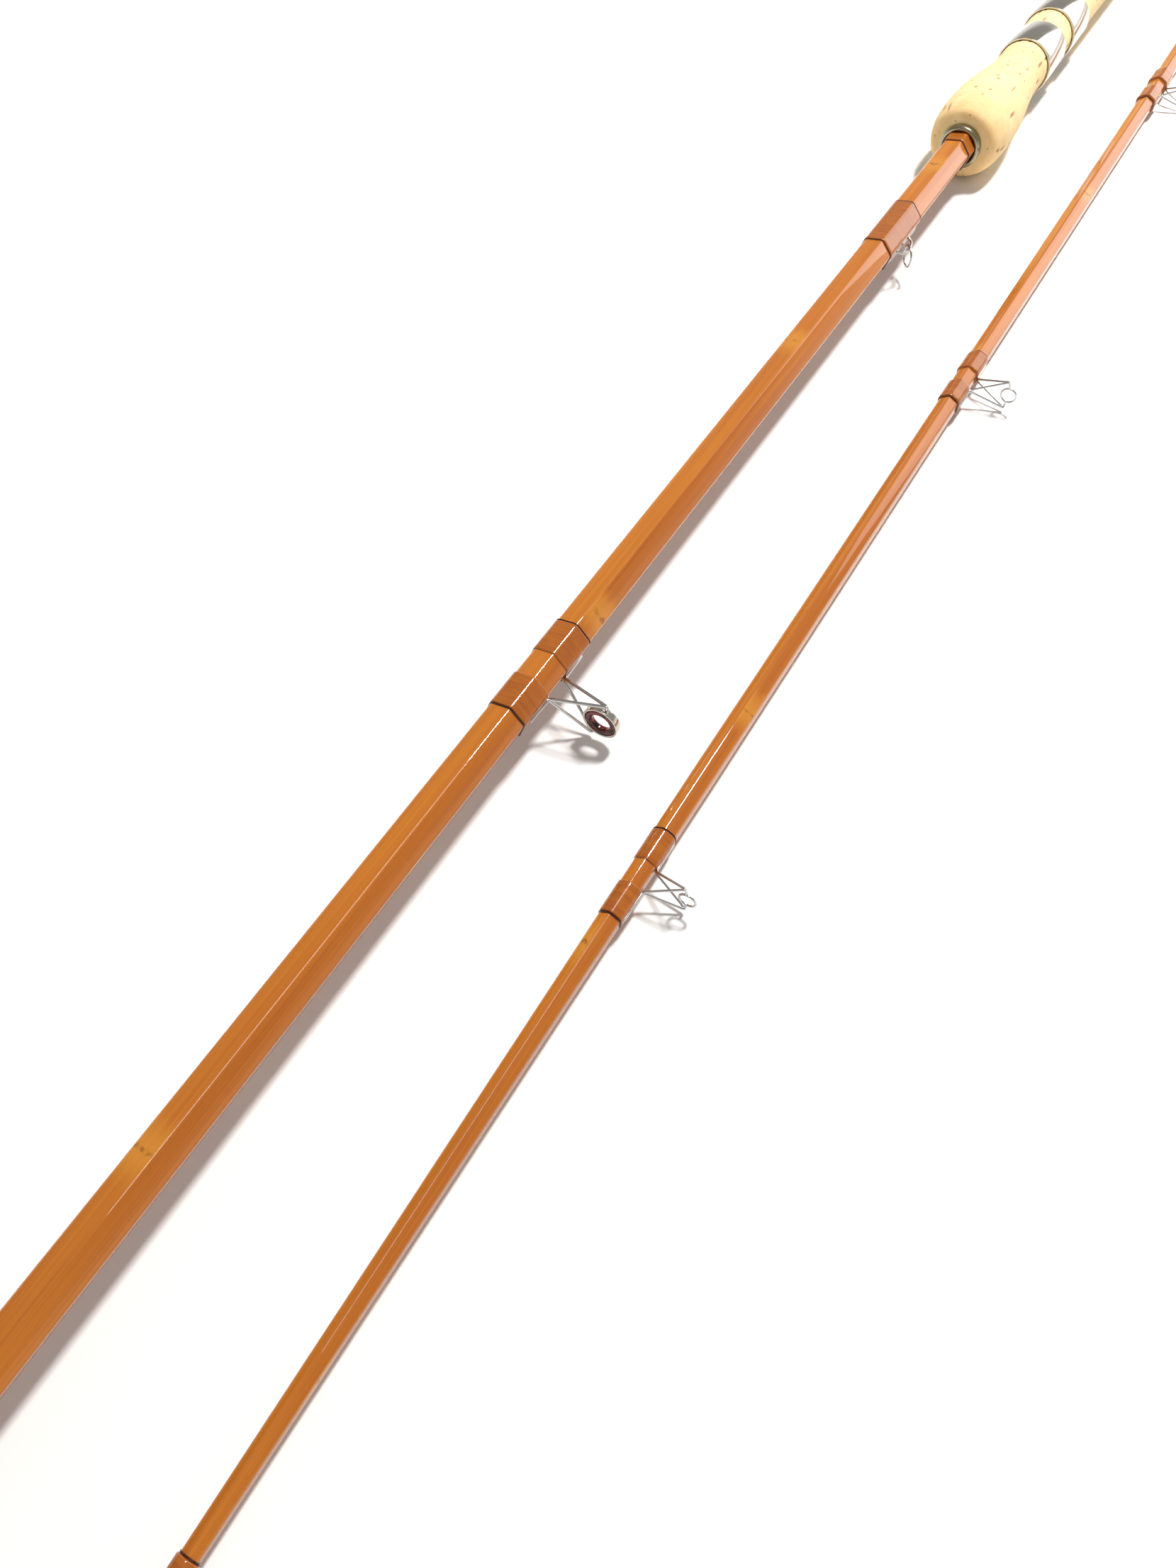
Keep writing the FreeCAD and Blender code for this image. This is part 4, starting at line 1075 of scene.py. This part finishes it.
def collar(centre, corners, round_over, around):
    """Ring with the given (radius, station) corners, eased."""
    bm = bmesh.new()
    verts = [bm.verts.new((radius, 0, station)) for radius, station in corners]
    for pair in zip(verts, verts[1:] + verts[:1]):
        bm.edges.new(pair)
    spun(bm, round_over, around)
    bmesh.ops.translate(bm, vec=centre, verts=bm.verts)
    return bm


def bridge_wires(seat, centre, span, foot, half_width, ring, wire):
    """Two bent wires, one each side, that share both feet, and the stubs that hold the ring."""
    sizes = shape()
    base = seat + wire
    parts = []
    for side in (-1, 1):
        lane = side * wire * 0.55
        knee = Vector((centre.x - wire, side * half_width, centre.z))
        feet = []
        for end in (-1, 1):
            root = Vector((base, lane, centre.z + end * (span / 2 - wire)))
            toe = Vector((base - wire * 0.45, lane, centre.z + end * (span / 2 + foot)))
            feet.append((toe, root))
        parts.append(wire_along([feet[0][0], feet[0][1], knee, feet[1][1], feet[1][0]],
                                wire, sizes.knee_round))
        hold = Vector((centre.x - wire, side * ring, centre.z))
        parts.append(wire_along([knee - Vector((wire * 0.4, side * wire * 0.6, 0)), hold], wire,
                                sizes.knee_round))
    return parts


def guide_measure(section, node, wire):
    """Seat, centre station, span and half width of a guide, from its CAD node."""
    low, high = section.span(node)
    foot = shape().foot_length
    station = (low.z + high.z) / 2
    span = high.z - low.z - 2 * foot
    return low.x, station, span, high.y - wire


class ROD_OT_butt_guide(bpy.types.Operator):
    """Butt guide: two bent wires, a metal bezel and its agate ring"""
    bl_idname = "rod.butt_guide"
    bl_label = "Butt guide"

    def execute(self, context):
        sizes = shape()
        butt = sections()[0]
        wire = sizes.lined_wire
        seat, _, span, half_width = guide_measure(butt, "butt_guide_bridge", wire)
        low, high = butt.span("butt_guide_bezel")
        centre = Vector(((low.x + high.x) / 2, 0, (low.z + high.z) / 2))
        outer = (high.x - low.x) / 2
        depth = high.z - low.z
        parts = bridge_wires(seat, centre, span, sizes.foot_length, half_width,
                             outer + wire * 0.3, wire)
        place("butt_guide_wires", merged(parts), butt, material("drawn_steel"),
              ["butt_guide_bridge"])
        points = butt.points("butt_guide_liner")
        radii = np.hypot(points[:, 0] - centre.x, points[:, 1])
        bore, seat_radius = float(radii.min()), float(radii.max())
        liner_depth = float(points[:, 2].max() - points[:, 2].min())
        bezel = collar(centre, [(seat_radius, -depth / 2), (outer, -depth / 2),
                                (outer, depth / 2), (seat_radius, depth / 2)],
                       sizes.edge_round * 1.6, sizes.around)
        place("butt_guide_rim", bezel, butt, material("nickel_silver"),
              ["butt_guide_bezel"])
        stone = collar(centre, [(bore, -liner_depth / 2), (seat_radius, -liner_depth / 2),
                                (seat_radius, liner_depth / 2), (bore, liner_depth / 2)],
                       0.7 * MM, sizes.around)
        place("butt_guide_stone", stone, butt, material("polished_agate"),
              ["butt_guide_liner"])
        return {"FINISHED"}


class ROD_OT_wire_guides(bpy.types.Operator):
    """Plain wire guides of both sections"""
    bl_idname = "rod.wire_guides"
    bl_label = "Wire guides"
    side_reach = 3.0 * MM

    def execute(self, context):
        sizes = shape()
        butt, tip = sections()
        wire = sizes.wire
        guides = [(butt, "second_guide")] + [(tip, "tip_guide_%d" % n) for n in range(1, 7)]
        for section, node in guides:
            seat, station, span, half_width = guide_measure(section, node, wire)
            ring = half_width - self.side_reach
            high = section.span(node)[1]
            centre = Vector((high.x - ring - wire, 0, station))
            parts = bridge_wires(seat, centre, span, sizes.foot_length, half_width,
                                 ring, wire)
            parts.append(hoop(centre, ring, wire, 48))
            place(node + "_wires", merged(parts), section, material("drawn_steel"),
                  [node])
        return {"FINISHED"}


class ROD_OT_keeper(bpy.types.Operator):
    """Hook keeper: a bowed wire saddle and its loose ring"""
    bl_idname = "rod.keeper"
    bl_label = "Keeper"

    def execute(self, context):
        butt = sections()[0]
        points = butt.points("keeper_saddle")
        low, high = butt.span("keeper_saddle")
        wire = (high.y - low.y) / 2
        station = (low.z + high.z) / 2
        base, top = low.x + wire, high.x - wire
        lifted = points[points[:, 0] > low.x + 2.6 * wire]
        half = float(lifted[:, 2].max() - station) + 1.2 * wire
        foot = high.z - wire
        path = [Vector((base, 0, 2 * station - foot)), Vector((base, 0, station - half))]
        for i in range(1, 10):
            lean = math.pi * i / 10
            path.append(Vector((base + (top - base) * math.sin(lean) ** 0.8, 0,
                                station - half * math.cos(lean))))
        path += [Vector((base, 0, station + half)), Vector((base, 0, foot))]
        saddle = wire_along(path, wire, 0.4 * MM)
        place("keeper_bow", saddle, butt, material("drawn_steel"),
              ["keeper_saddle"])
        cloud = butt.points("keeper_ring")
        middle = (cloud.max(0) + cloud.min(0)) / 2
        spread = np.linalg.svd(cloud - cloud.mean(0), full_matrices=False)[2]
        axis = Vector(spread[2])
        reach = np.linalg.norm(cloud - middle, axis=1)
        thick = float(np.abs((cloud - middle) @ spread[2]).max())
        ring = hoop(Vector(middle), float(reach.max()) - thick, thick, 64, axis)
        place("keeper_loop", ring, butt, material("drawn_steel"),
              ["keeper_ring"], body="keeper_ring")
        return {"FINISHED"}


class ROD_OT_tip_top(bpy.types.Operator):
    """Tip-top: tube, two side wires, rim and its small agate ring"""
    bl_idname = "rod.tip_top"
    bl_label = "Tip-top"

    def execute(self, context):
        sizes = shape()
        tip = sections()[1]
        wire = sizes.wire
        low, high = tip.span("tip_top_bezel")
        centre = Vector(((low.x + high.x) / 2, 0, (low.z + high.z) / 2))
        outer = (high.x - low.x) / 2
        depth = high.z - low.z
        points = tip.points("tip_top_tube")
        first, last = float(points[:, 2].min()), float(points[:, 2].max())
        mouth = points[points[:, 2] < first + 0.02 * MM]
        radii = np.hypot(mouth[:, 0], mouth[:, 1])
        inner, tube = float(radii.min()), float(radii.max())
        wall = tube - inner
        bm = bmesh.new()
        corners = [bm.verts.new(p) for p in ((inner, 0, first), (tube, 0, first),
                                             (tube, 0, last), (0, 0, last),
                                             (0, 0, last - wall), (inner, 0, last - wall))]
        for pair in zip(corners, corners[1:] + corners[:1]):
            if pair[0].co.x + pair[1].co.x > 0:
                bm.edges.new(pair)
        parts = [spun(bm, 0.12 * MM, 48)]
        for side in (-1, 1):
            root = Vector((0, side * (tube + 0.2 * wire), first + 0.2 * (last - first)))
            rise = Vector((0, side * (tube + 0.4 * wire), first + 0.45 * (last - first)))
            knee = Vector((centre.x, side * (outer + 0.5 * wire), centre.z))
            parts.append(wire_along([root, rise, knee], wire, sizes.knee_round))
        post = Vector((tube - 0.3 * wire, 0, centre.z))
        parts.append(wire_along([post, Vector((centre.x - outer, 0, centre.z))], wire * 1.2,
                                sizes.knee_round))
        place("tip_top_frame", merged(parts), tip, material("nickel_silver"),
              ["tip_top_tube"])
        points = tip.points("tip_top_liner")
        radii = np.hypot(points[:, 0] - centre.x, points[:, 1])
        bore, seat_radius = float(radii.min()), float(radii.max())
        rim = collar(centre, [(seat_radius, -depth / 2), (outer, -depth / 2),
                              (outer, depth / 2), (seat_radius, depth / 2)],
                     sizes.edge_round, 64)
        place("tip_top_rim", rim, tip, material("nickel_silver"), ["tip_top_bezel"])
        stone = collar(centre, [(bore, -depth / 2), (seat_radius, -depth / 2),
                                (seat_radius, depth / 2), (bore, depth / 2)], 0.45 * MM, 64)
        place("tip_top_stone", stone, tip, material("polished_agate"),
              ["tip_top_liner"])
        return {"FINISHED"}


# ----------------------------------------------------------------------- stage

def lamp(name, place_at, aim_at, wide, long, watts, gloss_only=False):
    """Soft rectangular lamp that faces a point; gloss_only keeps it out of matt surfaces."""
    data = bpy.data.lights.new(name, "AREA")
    data.shape = "RECTANGLE"
    data.size = wide
    data.size_y = long
    data.energy = watts
    thing = bpy.data.objects.new(name, data)
    thing.location = place_at
    thing.rotation_euler = (Vector(aim_at) - Vector(place_at)).to_track_quat("-Z", "Y").to_euler()
    thing.visible_diffuse = not gloss_only
    bpy.context.scene.collection.objects.link(thing)
    return thing


class ROD_OT_stage(bpy.types.Operator):
    """Pale floor, soft light and camera"""
    bl_idname = "rod.stage"
    bl_label = "Stage"

    def execute(self, context):
        scene = context.scene
        stage = scene.rod_stage
        bm = bmesh.new()
        bmesh.ops.create_grid(bm, x_segments=8, y_segments=8, size=6.0)
        mesh = bpy.data.meshes.new("floor")
        bm.to_mesh(mesh)
        bm.free()
        mesh.materials.append(material("white_paper"))
        floor = bpy.data.objects.new("floor", mesh)
        scene.collection.objects.link(floor)
        world = bpy.data.worlds.new("room")
        world.use_nodes = True
        world.node_tree.nodes.clear()
        # The room is brightest near the horizon, so bright metal shows light and dark.
        look = add(world.node_tree, "ShaderNodeTexCoord").outputs["Generated"]
        apart = add(world.node_tree, "ShaderNodeSeparateXYZ", {"Vector": look})
        height = add(world.node_tree, "ShaderNodeMapRange",
                     {"Value": apart.outputs["Z"], "From Min": 0.08, "From Max": 0.3,
                      "To Min": stage.room_low, "To Max": stage.room_high})
        light = add(world.node_tree, "ShaderNodeBackground",
                    {"Color": (1.0, 0.985, 0.965, 1.0), "Strength": height.outputs[0]})
        add(world.node_tree, "ShaderNodeOutputWorld", {"Surface": light.outputs[0]})
        scene.world = world
        # The key casts the shadows; the other two only shine in varnish and metal.
        lamp("key", (0.14, 0.62, 1.5), (0.0, -0.15, 0.0), 0.2, 0.3, stage.key_power)
        lamp("window", (0.96, 2.53, 1.07), (0.0, -0.1, 0.0), 1.3, 1.8, stage.window_power,
             gloss_only=True)
        lamp("bank", (0.12, 0.05, 1.5), (0.12, 0.05, 0.0), 0.45, 0.9, stage.bank_power,
             gloss_only=True)
        data = bpy.data.cameras.new("camera")
        data.lens = stage.lens
        data.sensor_width = 36.0
        data.clip_start = 0.01
        camera = bpy.data.objects.new("camera", data)
        camera.location = stage.stand
        camera.rotation_euler = (stage.tilt, 0, stage.heading)
        scene.collection.objects.link(camera)
        scene.camera = camera
        scene.view_settings.view_transform = "Standard"
        return {"FINISHED"}


# ----------------------------------------------------------------------- panel

class ROD_PT_sidebar(bpy.types.Panel):
    """Sizes, colours and pieces of the rod"""
    bl_idname = "ROD_PT_sidebar"
    bl_label = "Cane Rod"
    bl_space_type = "VIEW_3D"
    bl_region_type = "UI"
    bl_category = "Cane Rod"

    def draw(self, context):
        for group in (context.scene.rod_shape, context.scene.rod_finish,
                      context.scene.rod_stage):
            box = self.layout.box()
            for name in group.__annotations__:
                box.prop(group, name)
        for operator in PIECES:
            self.layout.operator(operator.bl_idname)


GROUPS = {"rod_shape": RodShape, "rod_finish": RodFinish, "rod_stage": RodStage}
PIECES = (ROD_OT_cane, ROD_OT_cork, ROD_OT_turned, ROD_OT_reel_bands, ROD_OT_windings,
          ROD_OT_tippings, ROD_OT_butt_guide, ROD_OT_wire_guides, ROD_OT_keeper,
          ROD_OT_tip_top, ROD_OT_stage)


def register():
    for name, group in GROUPS.items():
        bpy.utils.register_class(group)
        setattr(bpy.types.Scene, name, PointerProperty(type=group))
    for operator in PIECES:
        bpy.utils.register_class(operator)
    bpy.utils.register_class(ROD_PT_sidebar)


def unregister():
    bpy.utils.unregister_class(ROD_PT_sidebar)
    for operator in reversed(PIECES):
        bpy.utils.unregister_class(operator)
    for name, group in GROUPS.items():
        delattr(bpy.types.Scene, name)
        bpy.utils.unregister_class(group)


def main():
    register()
    bpy.ops.rod.cane()
    bpy.ops.rod.cork()
    bpy.ops.rod.turned()
    bpy.ops.rod.reel_bands()
    bpy.ops.rod.windings()
    bpy.ops.rod.tippings()
    bpy.ops.rod.butt_guide()
    bpy.ops.rod.wire_guides()
    bpy.ops.rod.keeper()
    bpy.ops.rod.tip_top()
    bpy.ops.rod.stage()


if __name__ == "__main__":
    main()
